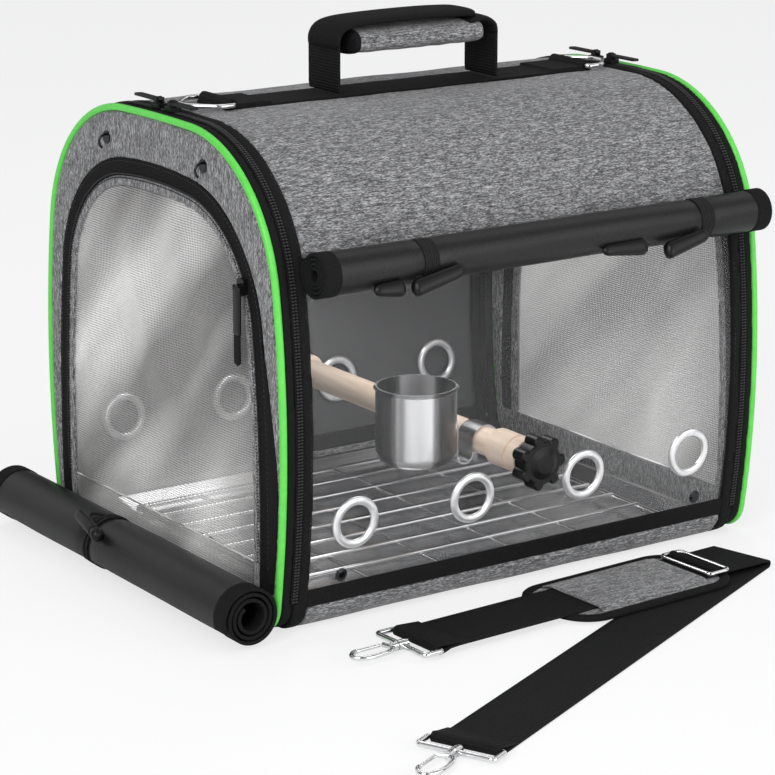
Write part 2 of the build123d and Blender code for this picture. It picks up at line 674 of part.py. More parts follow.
def door_zips():
    """The door's half of the end zip, and the tape of the arched zip."""
    zip_x = ZIP_X + ZIP_GAP / 2
    end_zip = slab(DOOR.ring(ZIP_SUNK, ZIP_SUNK + ZIP_T), -zip_x - ZIP_W, -zip_x) & above(ZIP_START_Z)
    arch_zip = slab(ARCH.ring(0, ARCH_ZIP_W, None, ARCH_BOTTOM_Z), -END_X, -END_X + ARCH_ZIP_T)
    return [end_zip, arch_zip]


def flap_section(inner_edge, bottom):
    outer = ARCH_ZIP_W + ZIP_GAP
    if inner_edge is None:
        return ARCH.face(outer + MESH_FRAME_W, bottom)
    return ARCH.ring(outer, inner_edge, bottom, bottom)


def mesh_frame(fold_z):
    section = flap_section(ARCH_ZIP_W + ZIP_GAP + MESH_FRAME_W, ARCH_BOTTOM_Z)
    return slab(section, -END_X, -END_X + MESH_FRAME_T) & above(fold_z + CLEAR)


def mesh_sheet(fold_z):
    x = -END_X + MESH_FRAME_T / 2
    sheet = slab(flap_section(None, ARCH_BOTTOM_Z), x - MESH_T / 2, x + MESH_T / 2)
    return sheet & above(fold_z + CLEAR)


def mesh_sill(fold_z):
    """The strip of mesh below the fold, sewn to the door."""
    x = -END_X + MESH_FRAME_T / 2
    section = flap_section(ARCH_ZIP_W + ZIP_GAP + MESH_FRAME_W, ARCH_BOTTOM_Z)
    frame = slab(section, -END_X, -END_X + MESH_FRAME_T)
    sheet = slab(flap_section(None, ARCH_BOTTOM_Z), x - MESH_T / 2, x + MESH_T / 2)
    return (frame + sheet) & below(fold_z)


def arch_zip_y(z):
    """Middle of the arched zip at height z, on the front side."""
    angle = math.asin(min(1.0, (z - ARCH.shoulder_c[1]) / (ARCH.shoulder_r - ARCH_ZIP_W)))
    return -(ARCH.shoulder_c[0] + (ARCH.shoulder_r - ARCH_ZIP_W) * math.cos(angle))


def pull_tab(length, width):
    """A pull lying along -Y from its pin at the origin; the pin's axis is X."""
    eye_r = PULL_PIN_R + 1.3
    tab = block(-width / 2, width / 2, -length, -eye_r / 2, -PULL_T / 2, PULL_T / 2)
    tab = fillet(tab.edges().filter_by(Axis.Z).group_by(Axis.Y)[0], width / 2 - 0.3)
    eye = rod((-width / 2 + 1.6, 0, 0), (width / 2 - 1.6, 0, 0), eye_r)
    slot = block(-width / 2 - 1, -width / 2 + 1.6, -eye_r - CLEAR, eye_r, -eye_r, eye_r)
    tab = tab + eye - slot - mirror(slot, Plane.YZ)
    return tab - rod((-width, 0, 0), (width, 0, 0), PULL_PIN_R + SEAT)


def slider_body(length, width):
    """A zip slider standing on z = 0 with its pin along X at the origin's height SLIDER_H + 1.6."""
    base = block(-width / 2, width / 2, -length / 2, length / 2, 0, SLIDER_H)
    base = fillet(base.edges().filter_by(Axis.Z), 2.0)
    pin_z = SLIDER_H + PULL_PIN_R + 1.3 + CLEAR
    pin = rod((-PULL_W / 2 + 0.2, 0, pin_z), (PULL_W / 2 - 0.2, 0, pin_z), PULL_PIN_R)
    ear = block(-PULL_W / 2, -PULL_W / 2 + 1.3, -1.6, 1.6, SLIDER_H, pin_z + PULL_PIN_R + 0.4)
    return base + pin + ear + mirror(ear, Plane.YZ)


def slider_pin_z():
    return SLIDER_H + PULL_PIN_R + 1.3 + CLEAR


def door_slider(y):
    return Pos(-ZIP_X, y, TOP_Z + 2 * SEAT) * slider_body(SLIDER_L, SLIDER_W)


def door_pull(y, towards):
    tab = pull_tab(PULL_L, PULL_W)
    if towards > 0:
        tab = mirror(tab, Plane.XZ)
    return Pos(-ZIP_X, y, TOP_Z + 2 * SEAT + slider_pin_z()) * tab


def mesh_slider_location():
    """The slider stands on the door's face, with its own -Y pointing down and its Z outwards."""
    frame = Plane(origin=(-END_X - SEAT * 3, arch_zip_y(MESH_SLIDER_Z), MESH_SLIDER_Z),
                  x_dir=(0, -1, 0), z_dir=(-1, 0, 0))
    return frame


def mesh_slider():
    return mesh_slider_location() * slider_body(SLIDER_L, SLIDER_W)


def mesh_pull():
    return mesh_slider_location() * (Pos(0, 0, slider_pin_z()) * pull_tab(MESH_PULL_L, PULL_W))


def cover_hook(y, z):
    """Small wire hook on a stitched plate, for the rolled cover."""
    plate = rod((-END_X, y, z), (-END_X - 1.2, y, z), 4.5)
    arc = ThreePointArc((-END_X - 1.0, y, z + 2), (-END_X - 6.5, y, z - 2), (-END_X - 4.5, y, z - 7))
    return plate + wire_loop(arc, 0.9)


def cover_roll():
    """Cover of the left door, rolled up on the floor and sewn along the foot of the door."""
    x = -cover_axis_x()
    y0 = COVER_SHIFT_Y - COVER_LENGTH / 2
    y1 = COVER_SHIFT_Y + COVER_LENGTH / 2
    z = COVER_EDGE_R + SEAT
    roll = rod((x, y0, z), (x, y1, z), COVER_R)
    for start, end in ((y0, y0 + COVER_EDGE_W), (y1 - COVER_EDGE_W, y1)):
        roll += rod((x, start, z), (x, end, z), COVER_EDGE_R)
    roll -= rod((x, y0 - 1, z), (x, y1 + 1, z), COVER_CORE_R)
    waist = rod((x, COVER_TIE_Y - 5, z), (x, COVER_TIE_Y + 5, z), COVER_R + 1)
    waist -= rod((x, COVER_TIE_Y - 5, z), (x, COVER_TIE_Y + 5, z), COVER_R - 2 * CORD_R + 0.3)
    flat = BODY.half_at(0) - CORNER_R
    hem = block(-END_X - COVER_HEM_T, -END_X, -flat, flat, 8.0, ARCH_BOTTOM_Z - 3)
    return roll + hem - waist


def cover_axis_x():
    return DOOR_BACK_X + 2 * PIPING_R + SEAT / 2 + CLEAR + COVER_EDGE_R


def cover_tie():
    """Elastic cord doubled round the roll, and its toggle."""
    x, z = -cover_axis_x(), COVER_EDGE_R + SEAT
    rings = []
    for y in (COVER_TIE_Y - 1.8, COVER_TIE_Y + 1.8):
        outer = rod((x, y - CORD_R, z), (x, y + CORD_R, z), COVER_R)
        rings.append(outer - rod((x, y - 2, z), (x, y + 2, z), COVER_R - 2 * CORD_R + 0.35))
    angle = math.radians(42)
    reach = COVER_R + TOGGLE_R + SEAT
    cx, cz = x - reach * math.cos(angle), z + reach * math.sin(angle)
    toggle = rod((cx, COVER_TIE_Y - TOGGLE_L / 2, cz), (cx, COVER_TIE_Y + TOGGLE_L / 2, cz), TOGGLE_R)
    toggle = fillet(toggle.edges(), 1.5)
    return rings + [toggle]


# ---------------------------------------------------------------- shoulder strap
def leg_frame(start, end, z):
    """Plane whose X runs along a leg of the strap, from start to end."""
    along = Vector(end[0] - start[0], end[1] - start[1], 0)
    return Plane(origin=(start[0], start[1], z), x_dir=along, z_dir=(0, 0, 1)), along.length


def strap_legs():
    upper, upper_l = leg_frame(STRAP_A, STRAP_FOLD, STRAP_TOP_Z)
    lower, lower_l = leg_frame(STRAP_B, STRAP_FOLD, 0.0)
    return upper, upper_l, lower, lower_l


def strap_webbing():
    """Webbing laid in two legs, one over the other, with a crease between and a sewn loop at each end."""
    upper, upper_l, lower, lower_l = strap_legs()
    crease_dir = (upper.x_dir + lower.x_dir).normalized()
    crease = Plane(origin=(*STRAP_FOLD, 0), x_dir=crease_dir, z_dir=(0, 0, 1))
    inside = crease * block(-BIG, 0, -BIG, BIG, -BIG, BIG)
    top = upper * block(0, upper_l + STRAP_W, -STRAP_W / 2, STRAP_W / 2, 0, STRAP_T)
    foot = lower * block(0, lower_l + STRAP_W, -STRAP_W / 2, STRAP_W / 2, 0, STRAP_T)
    wall_half = STRAP_W / 2 / abs(crease_dir.dot(upper.x_dir))
    wall = crease * block(-STRAP_T, 0, -wall_half, wall_half, 0, STRAP_TOP_Z + STRAP_T)
    webbing = (top & inside) + (foot & inside) + wall
    for frame, lift in ((upper, eye_height(STRAP_TOP_Z)), (lower, eye_height(0))):
        inner = EYE_WIRE_R + CLEAR
        sleeve = rod((0, -STRAP_W / 2, lift), (0, STRAP_W / 2, lift), inner + STRAP_T)
        bore = rod((0, -STRAP_W, lift), (0, STRAP_W, lift), inner)
        stitch = block(0, STITCH_L, -STRAP_W / 2, STRAP_W / 2, STRAP_T - 0.2, 2 * STRAP_T)
        webbing = webbing + frame * sleeve + frame * stitch - frame * bore
    return webbing


def eye_height(leg_z):
    """Height of the eye's bar above the underside of its leg."""
    return max(STRAP_T / 2, EYE_WIRE_R + CLEAR + STRAP_T - leg_z)


def strap_eye(frame, leg_z):
    """Rectangular wire eye with a swivel barrel, beyond the end of a leg."""
    z = eye_height(leg_z)
    half = STRAP_W / 2 + EYE_WIRE_R + 2 * CLEAR
    path = FilletPolyline((0, half, z), (-EYE_L, half, z), (-EYE_L, -half, z), (0, -half, z),
                          radius=EYE_BEND_R, close=True)
    eye = wire_loop(path, EYE_WIRE_R)
    barrel = rod((-EYE_L + 3, 0, z), (-EYE_L - 3, 0, z), 3.4)
    bore = rod((-EYE_L + 4, 0, z), (-EYE_L - 4, 0, z), SWIVEL_R + SWIVEL_FIT)
    return frame * (eye + barrel - bore)


def snap_hook(frame, leg_z):
    """Swivel pin with its head, and an open oval hook."""
    z = eye_height(leg_z)
    x0 = -EYE_L - 3 - CLEAR
    w = SNAP_HOOK_W / 2 - SNAP_HOOK_WIRE_R
    pin = rod((-EYE_L + 4.5, 0, z), (x0 - 2, 0, z), SWIVEL_R)
    head = rod((-EYE_L + 3 + CLEAR, 0, z), (-EYE_L + 5, 0, z), 2.8)
    neck = rod((x0, 0, z), (x0 - 5, 0, z), 3.0)
    far = x0 - 5 - SNAP_HOOK_L
    path = Spline((x0 - 3, 0, z), (x0 - 8, -w * 0.7, z), (x0 - 17, -w, z), (far + w * 0.7, -w * 0.8, z),
                  (far, 0, z), (far + w * 0.55, w * 0.8, z), (far + w * 1.25, w, z))
    stub = rod((x0 - 4, 0, z), (x0 - 6, w, z), SNAP_HOOK_WIRE_R)
    return frame * (pin + head + neck + wire_loop(path, SNAP_HOOK_WIRE_R) + stub)


def gate_line(leg_z):
    z = eye_height(leg_z)
    x0 = -EYE_L - 3 - CLEAR
    w = SNAP_HOOK_W / 2 - SNAP_HOOK_WIRE_R
    far = x0 - 5 - SNAP_HOOK_L
    off = SNAP_HOOK_WIRE_R + CLEAR + GATE_R
    return (x0 - 6 - off, w, z), (far + w + off, w, z)


def snap_gate(frame, leg_z):
    start, end = gate_line(leg_z)
    return frame * (rod(start, end, GATE_R) + Pos(*start) * Sphere(GATE_R) + Pos(*end) * Sphere(GATE_R))


def strap_pad():
    """Shoulder pad: a bound cushion under the webbing and a cloth sleeve over it."""
    upper, _, _, _ = strap_legs()
    low = STRAP_T + CLEAR - STRAP_TOP_Z
    cushion = extrude(Plane.XY.offset(low) * RectangleRounded(PAD_L, PAD_W, PAD_END_R), -CLEAR / 2 - low)
    roof_low = STRAP_T + CLEAR
    outer = block(-SLEEVE_L / 2, SLEEVE_L / 2, -PAD_W / 2 + 6, PAD_W / 2 - 6, -CLEAR, roof_low + 1.5)
    channel = block(-SLEEVE_L, SLEEVE_L, -STRAP_W / 2 - CLEAR, STRAP_W / 2 + CLEAR, -CLEAR / 2, roof_low)
    return upper * (Pos(PAD_AT, 0, 0) * (cushion + outer - channel))


def adjuster_bar():
    """Placement of the slide on the upper leg, and the height and radius of its middle bar."""
    upper, _, _, _ = strap_legs()
    return upper * Pos(ADJUSTER_AT, 0, 0), STRAP_T + CLEAR + ADJUSTER_WIRE_R, ADJUSTER_WIRE_R - 0.3


def strap_adjuster():
    """Wire slide with a middle bar."""
    place, z, bar_r = adjuster_bar()
    half = STRAP_W / 2 + ADJUSTER_WIRE_R + CLEAR
    w = ADJUSTER_L / 2
    path = FilletPolyline((-w, half, z), (w, half, z), (w, -half, z), (-w, -half, z),
                          radius=3.5, close=True)
    return place * (wire_loop(path, ADJUSTER_WIRE_R) + rod((0, -half, z), (0, half, z), bar_r))


def strap_tail():
    """Webbing tail sewn round the slide's middle bar."""
    place, z, bar_r = adjuster_bar()
    tail_r = bar_r + SEAT
    tail = rod((0, -STRAP_W / 2, z), (0, STRAP_W / 2, z), tail_r + STRAP_T)
    tail &= block(-ADJUSTER_L, ADJUSTER_L, -BIG, BIG, STRAP_T + CLEAR, BIG)
    return place * (tail - rod((0, -STRAP_W, z), (0, STRAP_W, z), tail_r))


# ---------------------------------------------------------------- write the pieces
def main():
    os.makedirs("parts", exist_ok=True)
    save("base_panel", base_panel())
    save("roof_panel", roof_panel())
    save("front_window", window(-1))
    save("back_window", window(1))
    save("window_bindings", *(bindings(-1) + bindings(1)))
    save("window_grommets", *[grommet(x, side) for side in (-1, 1) for x in grommet_centres()])
    save("window_snaps", *[snap_stud(x, side) for side in (-1, 1) for x in (-SNAP_X, SNAP_X)])
    save("body_bands", *both_ends(body_band()))
    save("body_zips", *both_ends(body_zip()))
    save("back_shade", back_shade())
    save("front_shade_roll", shade_roll())
    save("shade_ties", *[piece for x in SHADE_TIES_X for piece in shade_tie(x)])
    save("ridge_strip", ridge_strip())
    save("handle_left_leg", handle_leg(-1))
    save("handle_right_leg", handle_leg(1))
    save("handle_grip", *handle_grip())

    save("perch", perch())
    save("perch_bolts", *perch_bolts())
    save("perch_washer", perch_washer())
    save("perch_knob", knob())
    save("cup", cup())
    save("cup_hook", cup_hook())
    save("tray", tray())
    save("grate", grate())

    ends = {"left": lambda piece: piece, "right": lambda piece: mirror(piece, Plane.YZ)}
    folds = {"left": LEFT_FOLD_Z, "right": ARCH_BOTTOM_Z}
    for end, place in ends.items():
        save(f"{end}_d_ring", place(d_ring()))
        save(f"{end}_door_panel", place(door_panel()))
        save(f"{end}_door_band", place(door_band()))
        save(f"{end}_piping", place(piping()))
        save(f"{end}_door_zips", *[place(piece) for piece in door_zips()])
        save(f"{end}_mesh_frame", place(mesh_frame(folds[end])))
        save(f"{end}_mesh", place(mesh_sheet(folds[end])))
        save(f"{end}_mesh_slider", place(mesh_slider()))
        save(f"{end}_mesh_pull", place(mesh_pull()))
        save(f"{end}_front_pull", place(door_pull(SLIDER_YS[0], -1)))
        save(f"{end}_rear_pull", place(door_pull(SLIDER_YS[1], 1)))
    save("door_sliders", *[piece for y in SLIDER_YS for piece in both_ends(door_slider(y))])
    save("left_mesh_sill", mesh_sill(LEFT_FOLD_Z))
    save("left_cover_hooks", *[cover_hook(y, TOP_Z - COVER_HOOK_DROP) for y in (-COVER_HOOK_Y, COVER_HOOK_Y)])
    save("left_cover_roll", cover_roll())
    save("left_cover_tie", *cover_tie())

    upper, _, lower, _ = strap_legs()
    save("strap_webbing", strap_webbing())
    save("strap_pad", strap_pad())
    save("strap_adjuster", strap_adjuster())
    save("strap_tail", strap_tail())
    save("strap_eyes", strap_eye(upper, STRAP_TOP_Z), strap_eye(lower, 0))
    for number, (frame, leg_z) in enumerate(((upper, STRAP_TOP_Z), (lower, 0)), start=1):
        save(f"snap_hook_{number}", snap_hook(frame, leg_z))
        save(f"snap_gate_{number}", snap_gate(frame, leg_z))


main()
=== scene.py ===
# %% [markdown]
# # Bird travel carrier
# A soft-sided carrier is a few padded cloth panels held in shape by edge tape, piping and zips. The rigid CAD
# frame gives every piece its place. Here each piece gets its finish, and each cloth piece gets its soft form.

# %% The frame
import bpy
import bmesh
import json
import math
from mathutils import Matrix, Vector, noise
from mathutils.bvhtree import BVHTree
from mathutils.kdtree import KDTree

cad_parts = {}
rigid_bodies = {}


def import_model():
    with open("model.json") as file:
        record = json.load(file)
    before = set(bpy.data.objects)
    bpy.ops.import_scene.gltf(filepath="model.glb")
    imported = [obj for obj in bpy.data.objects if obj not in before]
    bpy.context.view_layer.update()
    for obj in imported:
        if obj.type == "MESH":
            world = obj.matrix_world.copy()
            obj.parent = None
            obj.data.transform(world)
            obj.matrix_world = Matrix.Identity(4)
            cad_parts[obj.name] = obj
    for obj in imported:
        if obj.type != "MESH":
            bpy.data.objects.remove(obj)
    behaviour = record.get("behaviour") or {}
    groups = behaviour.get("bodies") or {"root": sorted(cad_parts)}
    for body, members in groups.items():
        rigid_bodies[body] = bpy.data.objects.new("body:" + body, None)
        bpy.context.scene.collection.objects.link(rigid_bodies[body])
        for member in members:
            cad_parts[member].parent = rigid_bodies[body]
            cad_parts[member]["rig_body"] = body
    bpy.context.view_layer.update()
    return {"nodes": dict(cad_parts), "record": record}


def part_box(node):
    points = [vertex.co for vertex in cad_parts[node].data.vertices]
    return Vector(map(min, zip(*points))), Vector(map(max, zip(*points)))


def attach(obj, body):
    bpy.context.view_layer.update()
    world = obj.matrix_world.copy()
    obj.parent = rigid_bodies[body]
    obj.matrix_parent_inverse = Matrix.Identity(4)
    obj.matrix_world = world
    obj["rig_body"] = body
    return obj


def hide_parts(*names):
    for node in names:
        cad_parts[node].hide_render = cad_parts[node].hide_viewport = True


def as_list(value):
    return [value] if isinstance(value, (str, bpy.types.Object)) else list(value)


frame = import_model()
nodes = frame["nodes"]

# %% [markdown]
# ## Camera, floor and light
# A long lens from the front left shows both the mesh end and the window. Light Path makes the floor and backdrop
# white to the camera alone, so the lamps can stay at a plain level and the blacks stay black.

# %% Camera
scene = bpy.context.scene
scene.view_settings.view_transform = "Standard"
eye = Vector((-1.14105, -1.64242, 0.65117))
aim = Vector((-0.020527, 0.0, 0.198923))
cam_data = bpy.data.cameras.new("camera")
cam_data.lens = 133.5
cam_data.sensor_width = 36
cam_data.shift_x = 0.0143
cam_data.shift_y = -0.158
cam_data.clip_end = 20


def new_object(name, data):
    obj = bpy.data.objects.new(name, data)
    scene.collection.objects.link(obj)
    return obj


cam = new_object("camera", cam_data)
cam.location = eye
cam.rotation_euler = (aim - eye).to_track_quat("-Z", "Y").to_euler()
scene.camera = cam
print("camera distance", round((aim - eye).length, 3))


# %% Node helpers
def put(tree, node, **values):
    """Sets a node's settings and inputs by name. A value that is another node's output is linked."""
    for key, value in values.items():
        label = key.replace("_", " ")
        if isinstance(value, bpy.types.NodeSocket):
            tree.links.new(value, node.inputs[label])
        elif hasattr(node, key):
            setattr(node, key, value)
        else:
            node.inputs[label].default_value = value
    return node


def add(tree, kind, **values):
    return put(tree, tree.nodes.new(kind), **values)


def calc(tree, operation, *values):
    """The result of a math node. Each value is a number or another node's output."""
    node = add(tree, "ShaderNodeMath", operation=operation)
    for socket, value in zip(node.inputs, values):
        if isinstance(value, bpy.types.NodeSocket):
            tree.links.new(value, socket)
        else:
            socket.default_value = value
    return node.outputs[0]


def mix(tree, share, first, second):
    """Two shaders mixed. A share of 1 is all second."""
    node = tree.nodes.new("ShaderNodeMixShader")
    for socket, value in zip(node.inputs, (share, first.outputs[0], second.outputs[0])):
        tree.links.new(value, socket)
    return node


def heading(tree, direction):
    """The angle of a direction round the upright axis."""
    parts = add(tree, "ShaderNodeSeparateXYZ", Vector=direction)
    return calc(tree, "ARCTAN2", parts.outputs["Y"], parts.outputs["X"])


def new_material(name):
    """An empty material with its tree and its principled shader."""
    mat = bpy.data.materials.new(name)
    mat.use_nodes = True
    return mat, mat.node_tree, mat.node_tree.nodes["Principled BSDF"]


# %% Floor
# The floor keeps its shadow but shows as white where it would be pale.
FLOOR_GLOW = 0.72
floor_mat, tree, shader = new_material("floor_paper")
put(tree, shader, Base_Color=(0.93, 0.93, 0.93, 1), Roughness=0.8)
to_camera = add(tree, "ShaderNodeLightPath").outputs["Is Camera Ray"]
paper = mix(tree, calc(tree, "MULTIPLY", to_camera, FLOOR_GLOW), shader, add(tree, "ShaderNodeEmission"))
put(tree, tree.nodes["Material Output"], Surface=paper.outputs[0])

bpy.ops.mesh.primitive_plane_add(size=12, location=(0, 0, -0.0005))
floor = bpy.context.object
floor.name = "floor"
floor.data.materials.append(floor_mat)

# %% Backdrop
world = bpy.data.worlds.new("studio")
scene.world = world
world.use_nodes = True
tree = world.node_tree
room = put(tree, tree.nodes["Background"], Color=(0.93, 0.94, 0.95, 1), Strength=0.55)
ray = add(tree, "ShaderNodeLightPath").outputs
seen = calc(tree, "MAXIMUM", ray["Is Camera Ray"], ray["Is Transmission Ray"])
backdrop = mix(tree, seen, room, add(tree, "ShaderNodeBackground", Color=(1, 1, 1, 1)))

# Polished metal needs dark panels as well as white ones to reflect, so glossy rays meet soft upright bands.
BANDS, BANDS_FROM = 4.0, 0.6
angle = heading(tree, add(tree, "ShaderNodeTexCoord").outputs["Generated"])
swing = calc(tree, "SINE", calc(tree, "MULTIPLY_ADD", angle, BANDS, BANDS_FROM))
level = add(tree, "ShaderNodeMapRange", Value=swing, From_Min=-0.9, From_Max=0.8, To_Min=0.16, To_Max=1.05)
bands = add(tree, "ShaderNodeBackground", Strength=level.outputs["Result"])
studio = mix(tree, ray["Is Glossy Ray"], backdrop, bands)
put(tree, tree.nodes["World Output"], Surface=studio.outputs[0])

# %% Lamps
LAMPS_AIM = Vector((0, 0, 0.15))
lamps = {  # place, size in metres, watts
    "key": ((-1.8, -1.3, 1.5), 1.2, 31),
    "fill": ((1.5, -1.8, 1.2), 1.5, 10),
    "top": ((0.2, 0.6, 2.2), 1.4, 5),
    "low": ((0.25, -1.9, 0.45), 1.0, 9),
    "inside": ((0.0, 0.0, 0.262), 0.14, 0.32),
}
for name, (where, size, watts) in lamps.items():
    light = bpy.data.lights.new(name, "AREA")
    light.size = size
    light.energy = watts
    lamp = new_object(name, light)
    lamp.location = where
    lamp.rotation_euler = (LAMPS_AIM - Vector(where)).to_track_quat("-Z", "Y").to_euler()
print("lamps", len(lamps))

# %% [markdown]
# ## Patterns
# Most patterns read Object coordinates, and those that follow a bend read the piece's own UV map. Most begin with
# a noise stretched along the yarn, the wood's grain or the polish, and it often drives both colour and bump.


# %% Pattern helpers
def place(tree, scale=(1, 1, 1), coord="Object", turn=(0, 0, 0)):
    """Coordinates of the piece, turned and stretched by scale."""
    turned_too = any(turn)
    mapping = add(tree, "ShaderNodeMapping", vector_type="TEXTURE" if turned_too else "POINT", Rotation=turn,
                  Scale=[1 / v for v in scale] if turned_too else scale,
                  Vector=add(tree, "ShaderNodeTexCoord").outputs[coord])
    return mapping.outputs["Vector"]


def grain(tree, detail, size=1.0, rough=0.5, scale=(1, 1, 1), turn=(0, 0, 0)):
    """Noise on the piece's coordinates."""
    return add(tree, "ShaderNodeTexNoise", Scale=size, Detail=detail, Roughness=rough,
               Vector=place(tree, scale, turn=turn)).outputs["Fac"]


def ribs(tree, axis, pitch, coord="Object"):
    """Ribs across an axis, pitch metres apart."""
    return add(tree, "ShaderNodeTexWave", bands_direction=axis, Scale=math.pi / (10 * pitch),
               Vector=place(tree, coord=coord)).outputs["Fac"]


def streaks(across, along, axis):
    """A scale that is coarser along one axis, 0 for X, 1 for Y, 2 for Z."""
    scale = [across] * 3
    scale[axis] = along
    return scale


def ramp(tree, source, *stops):
    """Colours for the given values of source."""
    node = add(tree, "ShaderNodeValToRGB", Fac=source)
    marks = node.color_ramp.elements
    while len(marks) < len(stops):
        marks.new(0.5)
    for mark, (at, colour) in zip(marks, stops):
        mark.position = at
        mark.color = (*colour, 1)
    return node.outputs["Color"]


def bump(tree, shader, height, distance, strength):
    relief = add(tree, "ShaderNodeBump", Height=height, Distance=distance, Strength=strength)
    put(tree, shader, Normal=relief.outputs["Normal"])


# %% [markdown]
# ## Cloth
# The grey cloth is a melange weave: light and dark yarns give short streaks along the weft. One stretched noise
# makes the fine streaks, a second makes the slubs, and their blend gives both the colour and the bump.

# %% Cloth
def melange(name, axis):
    """Grey heather whose streaks follow an axis, 0 for X, 1 for Y, 2 for Z."""
    mat, tree, shader = new_material(name)
    yarn = grain(tree, 3.0, rough=0.65, scale=streaks(1800.0, 400.0, axis))
    slub = grain(tree, 2.0, scale=streaks(760.0, 130.0, axis))
    blend = calc(tree, "MULTIPLY_ADD", yarn, 0.68, calc(tree, "MULTIPLY", slub, 0.32))
    colour = ramp(tree, blend, (0.39, (0.036, 0.036, 0.038)), (0.46, (0.115, 0.115, 0.118)),
                  (0.53, (0.205, 0.205, 0.210)), (0.60, (0.420, 0.420, 0.428)))
    put(tree, shader, Base_Color=colour, Roughness=0.92, Specular_IOR_Level=0.2, Sheen_Weight=0.15)
    bump(tree, shader, blend, 0.0004, 0.5)
    return mat


def dark_cloth(name, colour, roughness, rib=None, depth=0.0002, coord="Object", shine=0.18):
    """Black tape, webbing or cover cloth. rib is (axis, pitch in metres) or None."""
    mat, tree, shader = new_material(name)
    fibre = grain(tree, 2.0, size=900.0)
    shades = ramp(tree, fibre, (0.35, [c * 0.7 for c in colour]), (0.65, [c * 1.5 for c in colour]))
    put(tree, shader, Base_Color=shades, Roughness=roughness, Specular_IOR_Level=shine)
    if rib:
        bump(tree, shader, ribs(tree, *rib, coord), 0.0006, 0.7)
    else:
        bump(tree, shader, fibre, depth, 0.7)
    return mat


def smooth(name, colour, roughness, metal=0.0, shine=0.5):
    """Plastic, enamel or plated metal with a faint uneven polish."""
    mat, tree, shader = new_material(name)
    speck = grain(tree, 3.0, size=220.0)
    shades = ramp(tree, speck, (0.3, [c * 0.93 for c in colour]), (0.7, [min(1.0, c * 1.06) for c in colour]))
    put(tree, shader, Base_Color=shades, Roughness=roughness, Metallic=metal, Specular_IOR_Level=shine)
    bump(tree, shader, speck, 0.00005, 0.3)
    return mat


# %% [markdown]
# ## Clear sheet and open mesh
# The window is clear vinyl: a gloss coat over almost nothing, with painted reflection as a faint grey haze in
# slanting bands. The mesh is a woven screen, so its holes come from two crossed waves that drive the alpha, and
# painted sheen lightens its yarn in bands.

# %% Clear sheet and mesh
def grey(value):
    return (value, value, value)


def clear_sheet():
    mat, tree, shader = new_material("clear_vinyl")
    # Painted reflection: slanting bands where more of the sheet's grey shows stand in for glare on the vinyl.
    painted_glare_haze = grain(tree, 1.0, scale=(4.5, 1, 1.6), turn=(0, 0.7, 0))
    put(tree, shader, Base_Color=(0.36, 0.365, 0.37, 1), Roughness=0.06, Specular_IOR_Level=0.9,
        Alpha=ramp(tree, painted_glare_haze, (0.42, grey(0.05)), (0.62, grey(0.16))))
    bump(tree, shader, grain(tree, 1.0, size=9.0), 0.006, 0.5)
    return mat


def open_mesh(pitch=0.0017):
    """Painted sheen lightens the yarn in slanting bands, and painted shade darkens it towards the front edge,
    where the screen turns away from the light.
    """
    mat, tree, shader = new_material("screen_mesh")
    # Painted sheen: slanting bands of lighter colour in the yarn.
    painted_sheen = grain(tree, 2.0, rough=0.45, scale=(1, 3.2, 13), turn=(-0.78, 0, 0))
    shine = ramp(tree, painted_sheen, (0.36, (0.34, 0.335, 0.33)), (0.60, (1.0, 0.99, 0.98)))
    # Painted shade: the colour is scaled down towards the front edge.
    depth = add(tree, "ShaderNodeSeparateXYZ", Vector=place(tree)).outputs["Y"]
    front = add(tree, "ShaderNodeMapRange", Value=depth, From_Min=-0.118, From_Max=-0.050, To_Min=0.42,
                To_Max=1.0).outputs["Result"]
    colour = add(tree, "ShaderNodeVectorMath", operation="SCALE", Vector=shine, Scale=front).outputs[0]
    yarn = calc(tree, "MAXIMUM", ribs(tree, "Y", pitch), ribs(tree, "Z", pitch))
    put(tree, shader, Base_Color=colour, Roughness=0.42, Metallic=0.15,
        Alpha=ramp(tree, yarn, (0.60, grey(0.10)), (0.90, grey(0.90))))
    return mat


# %% [markdown]
# ## Wood and steel
# Turned wood has long grain. The tray is brushed one way, so its noise is stretched along that way. The cup is
# polished round its own axis, and painted reflection in its colour makes bright and dark bands go round it three
# times.

# %% Wood and steel
def wood():
    mat, tree, shader = new_material("perch_wood")
    lines = grain(tree, 5.0, rough=0.6, scale=streaks(160, 14, 1))
    colour = ramp(tree, lines, (0.3, (0.76, 0.58, 0.45)), (0.55, (0.90, 0.73, 0.59)),
                  (0.75, (0.96, 0.82, 0.69)))
    put(tree, shader, Base_Color=colour, Roughness=0.6)
    bump(tree, shader, lines, 0.0005, 0.4)
    return mat


def brushed(name, axis):
    mat, tree, shader = new_material(name)
    lines = grain(tree, 3.0, scale=streaks(900.0, 15.0, axis))
    colour = ramp(tree, lines, (0.3, (0.50, 0.50, 0.51)), (0.7, (0.70, 0.70, 0.71)))
    put(tree, shader, Base_Color=colour, Metallic=1.0, Roughness=0.24)
    bump(tree, shader, lines, 0.0001, 0.3)
    return mat


def polish_with_painted_reflection(times=3.0, begin=6.66):
    mat, tree, shader = new_material("cup_polish_and_painted_bands")
    # Painted reflection: the colour turns bright and dark three times round the cup, by the facing of each face.
    angle = heading(tree, add(tree, "ShaderNodeTexCoord").outputs["Normal"])
    swing = calc(tree, "COSINE", calc(tree, "MULTIPLY_ADD", angle, times, begin))
    colour = ramp(tree, calc(tree, "MULTIPLY_ADD", swing, 0.5, 0.5), (0.30, (0.085, 0.085, 0.088)),
                  (0.52, (0.26, 0.26, 0.265)), (0.66, (0.86, 0.86, 0.87)))
    put(tree, shader, Base_Color=colour, Metallic=0.72, Roughness=0.27)
    bump(tree, shader, grain(tree, 2.0, scale=(30, 30, 900)), 0.00005, 0.25)
    return mat


